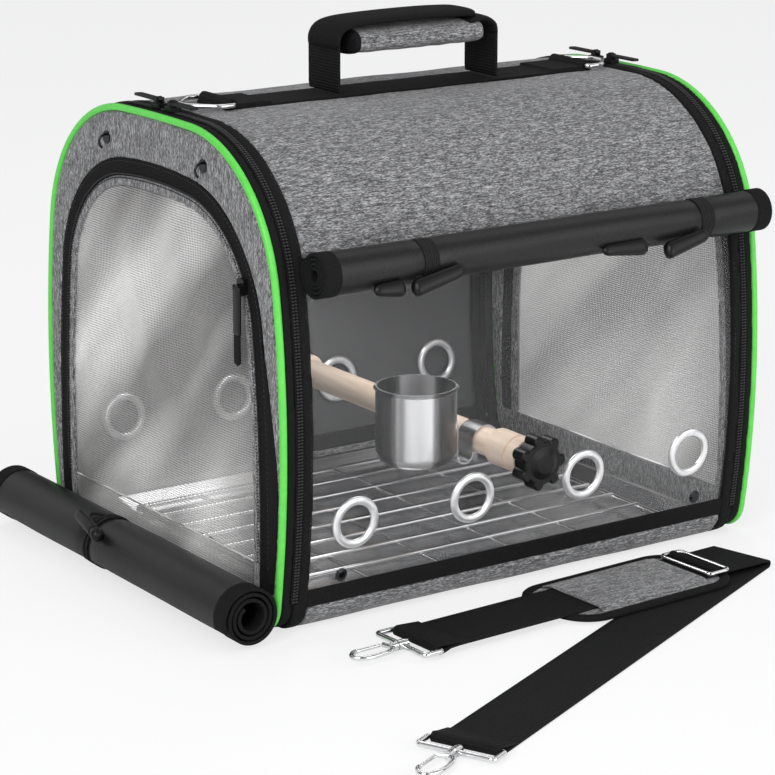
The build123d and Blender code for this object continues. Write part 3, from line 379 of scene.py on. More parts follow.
# %% The finishes
WEB_RIB, ELASTIC_RIB, ZIP_RIB = 0.0021, 0.0016, 0.0012
WEB_BLACK = (0.0065, 0.0065, 0.007)
finish = {
    "heather_x": melange("heather_roof", 0),
    "heather_z": melange("heather_end", 2),
    "tape": dark_cloth("edge_tape", (0.0055, 0.0055, 0.006), 0.85),
    "cover": dark_cloth("cover_cloth", (0.0085, 0.0085, 0.0090), 0.40, depth=0.0001, shine=0.32),
    "lining": dark_cloth("cover_lining", (0.075, 0.075, 0.078), 0.7, depth=0.0001),
    "webbing": dark_cloth("webbing", WEB_BLACK, 0.8, rib=("X", WEB_RIB), coord="UV"),
    "webbing_x": dark_cloth("webbing_along", WEB_BLACK, 0.8, rib=("X", WEB_RIB)),
    "elastic": dark_cloth("elastic_band", (0.010, 0.010, 0.011), 0.6, rib=("Y", ELASTIC_RIB), coord="UV"),
    "thread": dark_cloth("sewing_thread", (0.045, 0.045, 0.048), 0.6),
    "zip": dark_cloth("zip_tape", (0.0060, 0.0060, 0.0066), 0.85, rib=("Z", ZIP_RIB)),
    "coil": smooth("zip_coil_teeth", (0.026, 0.026, 0.028), 0.36, shine=0.40),
    "vinyl": clear_sheet(),
    "mesh": open_mesh(),
    "wood": wood(),
    "steel": brushed("tray_steel", 0),
    "polish_and_painted_bands": polish_with_painted_reflection(),
    "chrome": smooth("chrome_wire", (0.80, 0.80, 0.81), 0.12, metal=1.0),
    "gunmetal": smooth("gunmetal", (0.045, 0.045, 0.048), 0.25, metal=1.0),
    "enamel": smooth("slider_enamel", (0.0045, 0.0045, 0.005), 0.30, shine=0.28),
    "eyelet": smooth("eyelet_plate", (0.88, 0.88, 0.89), 0.28, metal=0.75),
    "plastic": smooth("black_plastic", (0.0045, 0.0045, 0.005), 0.36, shine=0.26),
    "cord": smooth("pale_cord", (0.62, 0.62, 0.61), 0.5),
    "piping": smooth("green_piping", (0.105, 0.63, 0.072), 0.38),
}
print("finishes", len(finish))

# %% CAD nodes that keep their shape
kept = {
    "chrome": ["grate", "left_d_ring", "right_d_ring", "strap_eyes", "strap_adjuster", "snap_hook_1",
               "snap_hook_2", "snap_gate_1", "snap_gate_2"],
    "gunmetal": ["window_snaps", "left_cover_hooks"],
    "polish_and_painted_bands": ["cup"],
    "steel": ["cup_hook", "tray", "perch_bolts"],
    "enamel": ["door_sliders", "left_mesh_slider", "right_mesh_slider", "right_mesh_pull", "left_front_pull",
               "left_rear_pull", "right_front_pull", "right_rear_pull"],
    "plastic": ["perch_knob", "perch_washer"],
    "wood": ["perch"],
    "piping": ["left_piping", "right_piping"],
    "zip": ["body_zips", "left_door_zips", "right_door_zips"],
}
for key, names in kept.items():
    for node in names:
        data = nodes[node].data
        data.materials.clear()
        data.materials.append(finish[key])
print("kept CAD nodes", sum(len(names) for names in kept.values()))

# %% [markdown]
# ## Pieces
# Every piece is an object at the origin with its place in its mesh. It is given to a body, which it rides on,
# and it may replace the plain CAD node that it was made from.


# %% Mesh helpers
WELD = 1e-5


def piece(name, verts, faces, edges=(), uvs=None):
    """A new mesh object. uvs holds a pair of metres for each vertex."""
    mesh = bpy.data.meshes.new(name)
    mesh.from_pydata(verts, edges, faces)
    if uvs:
        layer = mesh.uv_layers.new(name="UVMap")
        for corner in mesh.loops:
            layer.data[corner.index].uv = uvs[corner.vertex_index]
    return new_object(name, mesh)


def settle(obj):
    """What the modifiers make becomes the object's own plain mesh."""
    bpy.context.view_layer.update()
    graph = bpy.context.evaluated_depsgraph_get()
    plain = bpy.data.meshes.new_from_object(obj.evaluated_get(graph))
    obj.modifiers.clear()
    obj.data = plain
    return plain


def modify(obj, kind, **settings):
    modifier = obj.modifiers.new(kind, kind)
    for key, value in settings.items():
        setattr(modifier, key, value)
    return modifier


def thicken(obj, thickness):
    """A thin grid becomes a sheet, with half its thickness on each side."""
    modify(obj, "SOLIDIFY", thickness=thickness, offset=0)
    return settle(obj)


def coat(mesh, mat=None):
    """Smooth shading, and one finish all over."""
    if mat:
        mesh.materials.clear()
        mesh.materials.append(mat)
    for face in mesh.polygons:
        face.use_smooth = True


def face_out(mesh, weld=0.0):
    bm = bmesh.new()
    bm.from_mesh(mesh)
    if weld:
        bmesh.ops.remove_doubles(bm, verts=bm.verts, dist=weld)
    bmesh.ops.recalc_face_normals(bm, faces=bm.faces)
    bm.to_mesh(mesh)
    bm.free()


def grid(rows, columns, closed=False, first=0):
    """Faces of a grid whose points are listed row by row, or of a tube, whose rows are closed rings."""
    return [(first + k * columns + i, first + k * columns + (i + 1) % columns,
             first + (k + 1) * columns + (i + 1) % columns, first + (k + 1) * columns + i)
            for k in range(rows - 1) for i in range(columns if closed else columns - 1)]


def give(obj, body, slot, *replaced):
    """The piece rides on body and stands for CAD nodes. slot is not used."""
    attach(obj, body)
    if replaced:
        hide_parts(*replaced)
    print(obj.name, "faces", len(obj.data.polygons))


def give_as(obj, node):
    """The piece takes its body from the CAD node that it replaces, and passes on that node's slot."""
    slot = next(s["material_slot"] for s in frame["record"]["subparts"] if s["node"] == node)
    give(obj, nodes[node]["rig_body"], slot, node)


# %% [markdown]
# ## Soft copies
# A cloth panel has rounded edges and is never quite flat. Each cloth node is copied, its loose triangles are
# joined, a voxel remesh gives an even surface, and seeded noise along the normals adds slow waves.


# %% Softening
REGROW = 0.0003  # smoothing draws a panel in by about this much


def joined_copy(node):
    """A CAD node's mesh with its loose triangles joined."""
    mesh = nodes[node].data.copy()
    bm = bmesh.new()
    bm.from_mesh(mesh)
    bmesh.ops.remove_doubles(bm, verts=bm.verts, dist=WELD)
    return mesh, bm


def soften(name, node, mat, voxel, rounds, wave, length, seed):
    """An even mesh with rounded edges and slow waves, wave metres high and length metres long."""
    mesh, bm = joined_copy(node)
    bm.to_mesh(mesh)
    bm.free()
    obj = new_object(name, mesh)
    modify(obj, "REMESH", mode="VOXEL", voxel_size=voxel, use_smooth_shade=True)
    modify(obj, "SMOOTH", iterations=rounds, factor=0.5)
    plain = settle(obj)
    offset = Vector([seed * v for v in (7.3, 3.1, 5.7)])
    normals = [v.normal.copy() for v in plain.vertices]
    for v, n in zip(plain.vertices, normals):
        v.co += n * (REGROW + wave * noise.noise(v.co / length + offset))
    coat(plain, mat)
    give_as(obj, node)


cloth = [  # piece, CAD node, finish, voxel, rounds of smoothing, wave, its length, seed
    ("roof_cloth", "roof_panel", "heather_x", 0.0020, 2, 0.0010, 0.05, 1),
    ("base_cloth", "base_panel", "heather_x", 0.0022, 2, 0.0006, 0.05, 2),
    ("left_door_cloth", "left_door_panel", "heather_z", 0.0014, 2, 0.0006, 0.04, 3),
    ("right_door_cloth", "right_door_panel", "heather_z", 0.0014, 2, 0.0006, 0.04, 4),
    ("body_edge_tape", "body_bands", "tape", 0.0016, 2, 0.0003, 0.02, 5),
    ("left_edge_tape", "left_door_band", "tape", 0.0016, 2, 0.0003, 0.02, 6),
    ("right_edge_tape", "right_door_band", "tape", 0.0016, 2, 0.0003, 0.02, 7),
    ("window_tape", "window_bindings", "tape", 0.0008, 1, 0.0001, 0.02, 8),
    ("left_flap_tape", "left_mesh_frame", "heather_z", 0.0010, 1, 0.0002, 0.02, 9),
    ("right_flap_tape", "right_mesh_frame", "heather_z", 0.0010, 1, 0.0002, 0.02, 10),
    ("ridge_webbing", "ridge_strip", "webbing_x", 0.0010, 1, 0.0002, 0.03, 14),
    ("strap_tail_webbing", "strap_tail", "webbing_x", 0.0006, 1, 0.0001, 0.02, 20),
]
for name, node, key, *numbers in cloth:
    soften(name, node, finish[key], *numbers)

# %% [markdown]
# ## Clear sheets and mesh cloth
# The windows and the mesh are thin sheets under a light pull, never quite flat, and that is what makes their gloss
# look soft. Each solid is copied and cut into small triangles, and slow seeded noise moves them along one axis.
# The waves fade out near the sewn edges and the eyelets, which hold the sheet still.


# %% Sheets with slow waves
HELD_STILL = 0.028  # the waves are at full height this far from an edge or an eyelet
MOST_CUTS = 8


def ease(share):
    """A smooth step from 0 to 1."""
    return share * share * (3 - 2 * share)


def wavy_sheet(name, node, mat, longest, wave, length, seed):
    """A sheet whose edges are at most longest metres, with waves along its thin axis."""
    mesh, bm = joined_copy(node)
    still = KDTree(len(bm.verts))
    for i, v in enumerate(bm.verts):
        still.insert(v.co, i)
    still.balance()
    for _ in range(MOST_CUTS):
        edges = [e for e in bm.edges if e.calc_length() > longest]
        if not edges:
            break
        bmesh.ops.subdivide_edges(bm, edges=edges, cuts=1)
        bmesh.ops.triangulate(bm, faces=[f for f in bm.faces if len(f.verts) > 3])
    spans = [high - low for low, high in zip(*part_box(node))]
    axis = spans.index(min(spans))
    offset = Vector([seed * v for v in (3.7, 5.1, 1.9)])
    for v in bm.verts:
        fade = ease(min(1.0, still.find(v.co)[2] / HELD_STILL))
        spot = v.co.copy()
        spot[axis] = 0
        v.co[axis] += wave * fade * noise.noise(spot / length + offset)
    area = sum(f.calc_area() for f in bm.faces) / 2
    bm.to_mesh(mesh)
    bm.free()
    coat(mesh, mat)
    obj = new_object(name, mesh)
    give_as(obj, node)
    print(name, "area", round(area, 4))
    return obj


def second_finish(mesh, mat, chosen):
    """The faces that chosen picks take another finish."""
    mesh.materials.append(mat)
    for face in mesh.polygons:
        face.material_index = 1 if chosen(face) else 0


for side, wave, seed in (("front", 0.0022, 1), ("back", 0.0016, 2)):
    wavy_sheet(f"{side}_clear_sheet", f"{side}_window", finish["vinyl"], 0.010, wave, 0.07, seed)
for end, low in (("left", 0.046), ("right", 0.028)):
    wavy_sheet(f"{end}_mesh_cloth", f"{end}_mesh", finish["mesh"], 0.008, 0.0060, 0.055, 3 + low * 40)

# %% The lowered back cover
# It is sewn to the edge tape down both sides, so its sides reach over the tape and turn in to it. Its inner side,
# seen through both windows, is a paler lining.
REACH_OVER, TURNS_FROM, MOST_TURN = 1.026, 0.1775, 0.0016
back_cover = wavy_sheet("back_cover", "back_shade", finish["cover"], 0.009, 0.0009, 0.08, 11)
for v in back_cover.data.vertices:
    v.co.x *= REACH_OVER
    past = max(0.0, abs(v.co.x) - TURNS_FROM)
    v.co.y -= min(MOST_TURN, past * 0.6)
second_finish(back_cover.data, finish["lining"], lambda face: face.normal.y < -0.5)

# %% The foot of the left mesh
# A strip of screen runs below the flap, and it is bound in cloth where it reaches past the arch.
ARCH_HALF = 0.1205
foot = wavy_sheet("left_mesh_foot", "left_mesh_sill", finish["mesh"], 0.008, 0.0, 0.055, 5)
second_finish(foot.data, finish["heather_z"], lambda face: abs(face.center.y) > ARCH_HALF)

# %% [markdown]
# ## Eyelets
# Each window has four plated eyelets. A ring of oval section is swept round a circle, placed on eight points and
# turned to the wall at that height. Every point carries the wall's direction as an attribute.


# %% Geometry Nodes helpers
def new_group(name, **sizes):
    """An empty tree with a geometry input and an input for each size."""
    tree = bpy.data.node_groups.new(name, "GeometryNodeTree")
    new_socket = tree.interface.new_socket
    new_socket("Geometry", in_out="INPUT", socket_type="NodeSocketGeometry")
    for key, value in sizes.items():
        socket = new_socket(key.replace("_", " "), in_out="INPUT", socket_type="NodeSocketFloat")
        socket.default_value = value
    new_socket("Geometry", in_out="OUTPUT", socket_type="NodeSocketGeometry")
    return tree, add(tree, "NodeGroupInput").outputs


def close_group(tree, instances, mat):
    """The tree ends in real geometry with a finish, because instances are not exported."""
    real = add(tree, "GeometryNodeRealizeInstances", Geometry=instances)
    paint = add(tree, "GeometryNodeSetMaterial", Geometry=real.outputs["Geometry"], Material=mat)
    add(tree, "NodeGroupOutput", Geometry=paint.outputs["Geometry"])
    return tree


# %% Eyelets
def eyelet_tree(mat):
    tree, given = new_group("eyelets", Radius=0.015, Half_width=0.003, Half_height=0.0019)
    rail = add(tree, "GeometryNodeCurvePrimitiveCircle", Resolution=64, Radius=given["Radius"])
    oval = add(tree, "GeometryNodeCurvePrimitiveCircle", Resolution=16, Radius=1.0)
    size = add(tree, "ShaderNodeCombineXYZ", X=given["Half width"], Y=given["Half height"], Z=1.0)
    flat = add(tree, "GeometryNodeTransform", Geometry=oval.outputs["Curve"], Scale=size.outputs["Vector"])
    ring = add(tree, "GeometryNodeCurveToMesh", Curve=rail.outputs["Curve"],
               Profile_Curve=flat.outputs["Geometry"])
    towards = add(tree, "GeometryNodeInputNamedAttribute", data_type="FLOAT_VECTOR", Name="wall")
    turn = add(tree, "FunctionNodeAlignRotationToVector", axis="Z", Vector=towards.outputs["Attribute"])
    spread = add(tree, "GeometryNodeInstanceOnPoints", Points=given["Geometry"],
                 Instance=ring.outputs["Mesh"], Rotation=turn.outputs["Rotation"])
    return close_group(tree, spread.outputs["Instances"], mat)


EYELET_X = (-0.14175, -0.04725, 0.04725, 0.14175)
EYELET_Y, EYELET_Z = 0.15340, 0.0710
WALL_Y, WALL_Z = 0.9964, -0.0846  # the wall's direction at that height
spots = [(side, x) for side in (-1, 1) for x in EYELET_X]
eyelets = piece("eyelets", [(x, side * EYELET_Y, EYELET_Z) for side, x in spots], [])
wall = eyelets.data.attributes.new("wall", "FLOAT_VECTOR", "POINT")
wall.data.foreach_set("vector", [c for side, _ in spots for c in (0.0, side * WALL_Y, WALL_Z)])
modify(eyelets, "NODES", node_group=eyelet_tree(finish["eyelet"]))
plain = settle(eyelets)
face_out(plain)
coat(plain)
give(eyelets, "carrier", "white_plastic", "window_grommets")
ys = [abs(v.co.y) for v in plain.vertices]
print("depth of one eyelet", round((max(ys) - min(ys)) * 1000, 1), "mm")

# %% [markdown]
# ## The outline of the ends
# Zips, coils and stitches follow the arch of the doors. The arch is three tangent arcs on each side, so it is
# worked out once here, from the same sizes as the solids, and sampled at even steps.

# %% Arch outline
MM = 0.001
# half width, height of the widest point, radii of side, shoulder and crown, top
BODY_ARCH = (158.3, 130.0, 700.0, 110.0, 1500.0, 326.0)
FLAP_ARCH = (141.0, 80.0, 1000.0, 100.0, 420.0, 291.0)


def arch(shape, inset, low, step):
    """Points (y, z) in metres from the front foot over the crown to the back foot, step mm apart."""
    half, widest, side_r, shoulder_r, crown_r, top = shape
    sy, sz, cz = half - side_r, widest, top - crown_r
    a, b = side_r - shoulder_r, crown_r - shoulder_r
    dy, dz = -sy, cz - sz
    span = math.hypot(dy, dz)
    along = (a * a - b * b + span * span) / (2 * span)
    across = math.sqrt(a * a - along * along)
    hy = sy + (along * dy - across * dz) / span
    hz = sz + (along * dz + across * dy) / span
    turn = math.atan2(hz - sz, hy - sy)
    crown = math.atan2(hz - cz, hy)
    start = math.asin((low - sz) / (side_r - inset))
    arcs = ((sy, sz, side_r - inset, start, turn), (hy, hz, shoulder_r - inset, turn, crown),
            (0.0, cz, crown_r - inset, crown, math.pi / 2))
    points = []
    for y, z, radius, first, last in arcs:
        count = max(2, int(radius * abs(last - first) / step))
        for i in range(count):
            angle = first + (last - first) * i / count
            points.append((y + radius * math.cos(angle), z + radius * math.sin(angle)))
    points.append((0.0, cz + crown_r - inset))
    back = [(y * MM, z * MM) for y, z in points]
    return [(-y, z) for y, z in back] + back[-2::-1]


print("outline points", len(arch(BODY_ARCH, 0, 22, 4)))

# %% [markdown]
# ## Teeth and stitches
# A zip coil and a row of stitches are one small shape repeated along a line. Geometry Nodes do that: the line is
# resampled at the pitch, one shape is placed on each point and turned along the line, and the tree ends in
# Realize Instances and Set Material so the result exports as a plain mesh.


# %% A row of small shapes along a line
def row_tree(name, mat):
    tree, given = new_group(name, Pitch=0.0022, Length=0.001, Width=0.0025, Height=0.001)
    curve = add(tree, "GeometryNodeMeshToCurve", Mesh=given["Geometry"])
    even = add(tree, "GeometryNodeCurveToPoints", mode="LENGTH", Curve=curve.outputs["Curve"],
               Length=given["Pitch"])
    shape = add(tree, "GeometryNodeMeshUVSphere", Segments=8, Rings=4, Radius=0.5)
    size = add(tree, "ShaderNodeCombineXYZ", X=given["Width"], Y=given["Height"], Z=given["Length"])
    spread = add(tree, "GeometryNodeInstanceOnPoints", Points=even.outputs["Points"],
                 Instance=shape.outputs["Mesh"], Rotation=even.outputs["Rotation"], Scale=size.outputs["Vector"])
    return close_group(tree, spread.outputs["Instances"], mat)


def row(name, line, tree, body, slot, sizes):
    """Small shapes along a line of points, as one plain mesh that rides on body."""
    obj = piece(name, [tuple(p) for p in line], [], edges=[(i, i + 1) for i in range(len(line) - 1)])
    mod = modify(obj, "NODES", node_group=tree)
    for label, value in zip(("Pitch", "Length", "Width", "Height"), sizes):
        socket = next(i for i in tree.interface.items_tree if i.name == label and i.in_out == "INPUT")
        mod[socket.identifier] = value
    coat(settle(obj))
    give(obj, body, slot)


teeth, stitch = row_tree("zip_teeth", finish["coil"]), row_tree("stitch_row", finish["thread"])
# pitch, length, width and height of one tooth or stitch
END_TOOTH, ARCH_TOOTH = (0.0021, 0.0013, 0.0022, 0.0015), (0.0021, 0.0013, 0.0023, 0.0012)
STITCH = (0.0036, 0.0024, 0.0005, 0.0004)
# distance of each line from the middle, in metres
BODY_COIL, DOOR_COIL, BAND_SEAM, ARCH_COIL, ARCH_SEAM = 0.1859, 0.1881, 0.1788, 0.2002, 0.2001
BODY_FOOT = 24  # mm above the floor
for side, end, low in ((-1, "left", 46), (1, "right", 28)):
    door, flap = end + "_door", end + "_flap"
    for part, body, x in (("body", "carrier", BODY_COIL), ("door", door, DOOR_COIL)):
        line = [(side * x, y, z) for y, z in arch(BODY_ARCH, 0.2, BODY_FOOT, 3)]
        row(f"{end}_{part}_end_coil", line, teeth, body, "zip_plastic", END_TOOTH)
    for part, body, inset in (("door", door, 10.8), ("flap", flap, 13.6)):
        line = [(side * ARCH_COIL, y, z) for y, z in arch(FLAP_ARCH, inset, low + 2, 3)]
        row(f"{end}_{part}_arch_coil", line, teeth, body, "zip_plastic", ARCH_TOOTH)
    line = [(side * ARCH_SEAM, y, z) for y, z in arch(FLAP_ARCH, 2.2, low, 3)]
    row(f"{end}_arch_stitches", line, stitch, door, "black_tape", STITCH)
    line = [(side * BAND_SEAM, y, z) for y, z in arch(BODY_ARCH, 0.0, BODY_FOOT, 3)]
    row(f"{end}_band_stitches", line, stitch, "carrier", "black_tape", STITCH)

# %% [markdown]
# ## Rolled covers
# A rolled cover is one sheet wound round itself, so its end shows a spiral. The sheet is made as a grid along
# the spiral, it narrows under its elastic, and Solidify gives the cloth its thickness. The number of turns
# follows from the height of the opening that the cover has to close.


# %% Rolls
PER_TURN, STATIONS, BINDING_STATIONS = 44, 110, 6
WAIST_DEPTH, WAIST_REACH = 0.085, 0.008
COVER_THICK, BINDING_THICK = 0.0012, 0.0022
CREASE = 0.0007


class Roll:
    """A sheet flat metres high wound between radii core and outer, about a line along axis 0 or 1."""

    def __init__(self, axis, centre, outer, core, flat, seed, waists):
        self.axis, self.centre, self.outer, self.core = axis, centre, outer, core
        self.seed, self.waists = seed, waists
        self.turns = flat / (math.pi * (outer + core))

    def spiral(self, share):
        """Angle and radius at a share of the sheet's length."""
        return self.seed + share * self.turns * 2 * math.pi, self.core + (self.outer - self.core) * share

    def section(self, t):
        squeeze = 1 - sum(WAIST_DEPTH * math.exp(-((t - w) / WAIST_REACH) ** 2) for w in self.waists)
        around = int(self.turns * PER_TURN)
        for i in range(around + 1):
            angle, radius = self.spiral(i / around)
            radius = radius * squeeze
            radius += CREASE * noise.noise(Vector((t * 14, angle * 0.5, self.seed))) * (i / around)
            yield radius * math.cos(angle), radius * math.sin(angle)

    def build(self, name, body, first, last, count, thick, mat, *replaced):
        """The roll's cloth from first to last along its axis."""
        verts = []
        across, up = self.centre
        for k in range(count + 1):
            t = first + (last - first) * k / count
            verts += [(t, across + u, up + v) if self.axis == 0 else (across + u, t, up + v)
                      for u, v in self.section(t)]
        obj = piece(name, verts, grid(count + 1, len(verts) // (count + 1)))
        plain = thicken(obj, thick)
        coat(plain, mat)
        face_out(plain)
        give(obj, body, "cover_cloth", *replaced)
        return obj

    def cover(self, name, node, body, first, last, binding):
        """The whole roll, with a thicker binding at each end."""
        main = self.build(name, body, first + MM, last - MM, STATIONS, COVER_THICK, finish["cover"], node)
        ends = ((first, first + binding), (last - binding, last))
        return main, [self.build(f"{name}_binding_{i}", body, a, b, BINDING_STATIONS, BINDING_THICK,
                                 finish["tape"]) for i, (a, b) in enumerate(ends)]

    def snug(self, squeeze=0.915):
        """The radius, for any direction, of a band pulled tight round the last turn."""
        edge = []
        for i in range(90):
            angle, radius = self.spiral(1 - i / 90 / self.turns)
            edge.append((radius * squeeze * math.cos(angle), radius * squeeze * math.sin(angle)))
        facing = [2 * math.pi * i / 180 for i in range(180)]
        reach = [max(u * math.cos(t) + v * math.sin(t) for u, v in edge) for t in facing]
        return lambda a: min(h / math.cos(t - a) for t, h in zip(facing, reach) if math.cos(t - a) > 0.3)


end_roll = Roll(1, (-0.22295, 0.0217), 0.0203, 0.0085, flat=0.290, seed=2.2, waists=(0.030,))
front_roll = Roll(0, (-0.16555, 0.244), 0.0153, 0.0042, flat=0.240, seed=0.9, waists=(-0.099, 0.133))
main, bindings = end_roll.cover("end_cover_roll", "left_cover_roll", "left_door", -0.155, 0.175, 0.013)
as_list(bindings)
main, bindings = front_roll.cover("front_cover_roll", "front_shade_roll", "carrier", -0.181, 0.1895, 0.012)
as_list(bindings)
print("turns", round(end_roll.turns, 2), round(front_roll.turns, 2))

# %% [markdown]
# ## Swept pieces
# Webbing, a padded flap and a wrapped grip all have one section carried along a path. A superellipse gives every
# section from a flat strap to a round tube, and the UV map holds real metres, so the webbing's ribs keep their
# pitch round each bend.

# %% Sweep
Y, Z = (0, 1, 0), (0, 0, 1)


def straight(start, end, count):
    """Points from start to end, at count even steps."""
    return [Vector([a + (b - a) * i / count for a, b in zip(start, end)]) for i in range(count + 1)]


def smooth_path(points, step=0.002):
    """A smooth line through the given points, by Catmull-Rom."""
    pts = [Vector(p) for p in points]
    pts = [2 * pts[0] - pts[1]] + pts + [2 * pts[-1] - pts[-2]]
    line = []
    for a, b, c, d in zip(pts, pts[1:], pts[2:], pts[3:]):
        count = max(2, int((c - b).length / step))
        for i in range(count):
            t = i / count
            line.append(0.5 * (2 * b + (c - a) * t + (2 * a - 5 * b + 4 * c - d) * t * t
                               + (3 * b - a - 3 * c + d) * t ** 3))
    return line + [pts[-2]]


def distances(path):
    """How far along the path each of its points lies."""
    run = [0.0]
    for a, b in zip(path, path[1:]):
        run.append(run[-1] + (b - a).length)
    return run


def sweep(name, path, across, wide, thick, mat, power=5.0, count=24, round_start=0.0, round_end=0.0,
          taper=1.0):
    """A superellipse, wide by thick metres, along a path. A power of 2 is round and 5 nearly square."""
    across = Vector(across).normalized()
    lengths = distances(path)
    verts, uvs = [], []
    for k, p in enumerate(path):
        ahead = path[min(k + 1, len(path) - 1)] - path[max(k - 1, 0)]
        normal = ahead.normalized().cross(across).normalized()
        scale = 1.0 + (taper - 1.0) * lengths[k] / lengths[-1]
        for near, size in ((lengths[k], round_start), (lengths[-1] - lengths[k], round_end)):
            if size and near < size:
                scale *= math.sqrt(max(0.02, 1 - (1 - near / size) ** 2))
        for i in range(count):
            c, n = math.cos(2 * math.pi * i / count), math.sin(2 * math.pi * i / count)
            x = math.copysign(abs(c) ** (2 / power), c) * wide / 2 * scale
            y = math.copysign(abs(n) ** (2 / power), n) * thick / 2 * scale
            verts.append(p + across * x + normal * y)
            uvs.append((lengths[k], x))
    last = (len(path) - 1) * count
    caps = [tuple(reversed(range(count))), tuple(range(last, last + count))]
    obj = piece(name, verts, grid(len(path), count, closed=True) + caps, uvs=uvs)
    face_out(obj.data)
    coat(obj.data, mat)
    return obj


def lay(name, body, slot, path, across, wide, thick, key, *replaced, **shape):
    """A swept piece with its finish, given to its body."""
    give(sweep(name, path, across, wide, thick, finish[key], **shape), body, slot, *replaced)


# %% Hem and top seam of the back cover
# A folded tape finishes the free lower edge, and a narrower one covers the seam to the roof. Rays sent in from
# behind find where the cover lies.
surface = BVHTree.FromPolygons([v.co for v in back_cover.data.vertices],
                               [p.vertices[:] for p in back_cover.data.polygons])
RAYS, TAPE_HALF, BEHIND = 60, 0.1765, 0.4
(_, _, bottom), (_, _, top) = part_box("back_shade")
for tag, z, wide in (("hem", bottom + 0.0056, 0.0100), ("seam", top - 0.0040, 0.0062)):
    hits = [surface.ray_cast(Vector((-TAPE_HALF + 2 * TAPE_HALF * i / RAYS, BEHIND, z)), Vector((0, -1, 0)))
            for i in range(RAYS + 1)]
    out = hits[RAYS // 2][1].normalized()
    rise = Vector((0, -out.z, out.y))
    line = [spot + out * 0.0003 for spot, *_ in hits]
    lay(f"back_cover_{tag}", "carrier", "black_tape", line, rise, wide, 0.0013, "tape", power=4, count=16)
    line = [p + out * 0.0006 + rise * wide * 0.3 for p in line]
    row(f"back_cover_{tag}_stitches", line, stitch, "carrier", "black_tape", STITCH)

# %% The left door's pull
# The pull of the arched zip is a moulded bar with a webbing loop below it.
BAR_SHARE, LOOP_SHARE = 0.64, 0.40  # of the pull's height
low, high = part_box("left_mesh_pull")
x, y, tall = (low[0] + high[0]) / 2, (low[1] + high[1]) / 2, high[2] - low[2]
bar = straight((x, y, high[2]), (x, y, high[2] - tall * BAR_SHARE), 16)
loop = straight((x, y, low[2]), (x, y, low[2] + tall * LOOP_SHARE), 10)
lay("left_pull_bar", "left_flap_pull", "zip_plastic", bar, Y, 0.0082, 0.0026, "enamel", "left_mesh_pull",
    power=3.5, round_start=0.002, round_end=0.0012)
lay("left_pull_loop", "left_flap_pull", "zip_plastic", loop, Y, 0.0072, 0.0018, "webbing", power=4,
    round_start=0.0010)

# %% The left door's corner tape and fold edge
# The zip tape widens towards the foot on the front side, where it is sewn into the corner, and stops at the
# piping. A pale cord edges the fold of the mesh.
TAPE_FROM, TAPE_TO, ROWS, STRIPS = 0.030, 0.195, 30, 6
WIDEST, WIDENS_OVER = 0.0112, 0.085
verts = []
for k in range(ROWS + 1):
    z = TAPE_FROM + (TAPE_TO - TAPE_FROM) * k / ROWS
    inner = next(-abs(y) for y, h in arch(FLAP_ARCH, 0.3, 28, 1) if h >= z)
    piping = next(-abs(y) for y, h in arch(BODY_ARCH, 5.8, BODY_FOOT, 1) if h >= z)
    outer = max(piping, inner - WIDEST * min(1.0, max(0.0, (TAPE_TO - z) / WIDENS_OVER)) ** 0.8)
    verts += [(-0.2004 - 0.0004 * math.sin(math.pi * i / STRIPS), inner + (outer - inner) * i / STRIPS, z)
              for i in range(STRIPS + 1)]
tape = piece("left_corner_tape", verts, grid(ROWS + 1, STRIPS + 1))
thicken(tape, 0.0008).materials.append(finish["tape"])
give(tape, "left_door", "black_tape")
fold_edge = straight((-0.1994, -0.120, 0.0462), (-0.1994, 0.120, 0.0462), 60)
lay("left_fold_cord", "left_flap", "mesh_cloth", fold_edge, Z, 0.0011, 0.0011, "cord", power=2, count=10)

# %% [markdown]
# ## Carrying handle
# Two webbing legs stand on the ridge. The grip is a padded wrap in the grey cloth with a black bound end, under
# a thick black flap that starts on the left leg and ends free, and the webbing turns down into the right leg.

# %% Legs
# The foot of each leg thins out where it is sewn down, so it can fold.
HANDLE_WIDE, LEG_THICK = 0.038, 0.0030
LEG_FOOT, LEG_TOP = 0.3287, 0.3606
SEWN, THINNEST = 0.004, 0.35
for end, x in (("left", -0.0640), ("right", 0.0700)):
    upright = straight((x, 0, LEG_FOOT), (x, 0, LEG_TOP), 29)
    leg = sweep(f"handle_{end}_webbing", upright, Y, HANDLE_WIDE, LEG_THICK, finish["webbing"])
    for v in leg.data.vertices:
        near = min(1.0, abs(v.co.z - LEG_FOOT) / SEWN)
        v.co.x = x + (v.co.x - x) * (THINNEST + (1 - THINNEST) * near)
    give(leg, f"handle_{end}", "black_webbing", f"handle_{end}_leg")


# %% Grip
def along_grip(*points, step=0.002):
    """A smooth path through points (x, z) of the handle's middle plane."""
    return smooth_path([(x, 0, z) for x, z in points], step)


wrap_line = along_grip((-0.0490, 0.3622), (-0.020, 0.3618), (0.010, 0.3618), (0.040, 0.3620),
                       (0.0595, 0.3624))
bound_line = along_grip((-0.0540, 0.3624), (-0.051, 0.3623), (-0.0475, 0.3622), step=0.0005)
flap_line = along_grip((-0.0640, 0.3599), (-0.0640, 0.3655), (-0.0595, 0.3718), (-0.0480, 0.3750),
                       (-0.020, 0.3762), (0.018, 0.3764), (0.0420, 0.3757), (0.0555, 0.3746))
turn_line = along_grip((0.0450, 0.3690), (0.0560, 0.3708), (0.0640, 0.3696), (0.0692, 0.3655),
                       (0.0700, 0.3600))
wrap = sweep("grip_wrap", wrap_line, Y, 0.0415, 0.0172, finish["heather_x"], power=2.7, count=48,
             round_end=0.003)
for v in wrap.data.vertices:
    v.co.z += 0.0005 * noise.noise(v.co / 0.012)
give(wrap, "grip", "heather_cloth", "handle_grip")
lay("grip_bound_end", "grip", "black_webbing", bound_line, Y, 0.0425, 0.0182, "tape", power=2.7, count=48,
    round_start=0.004)
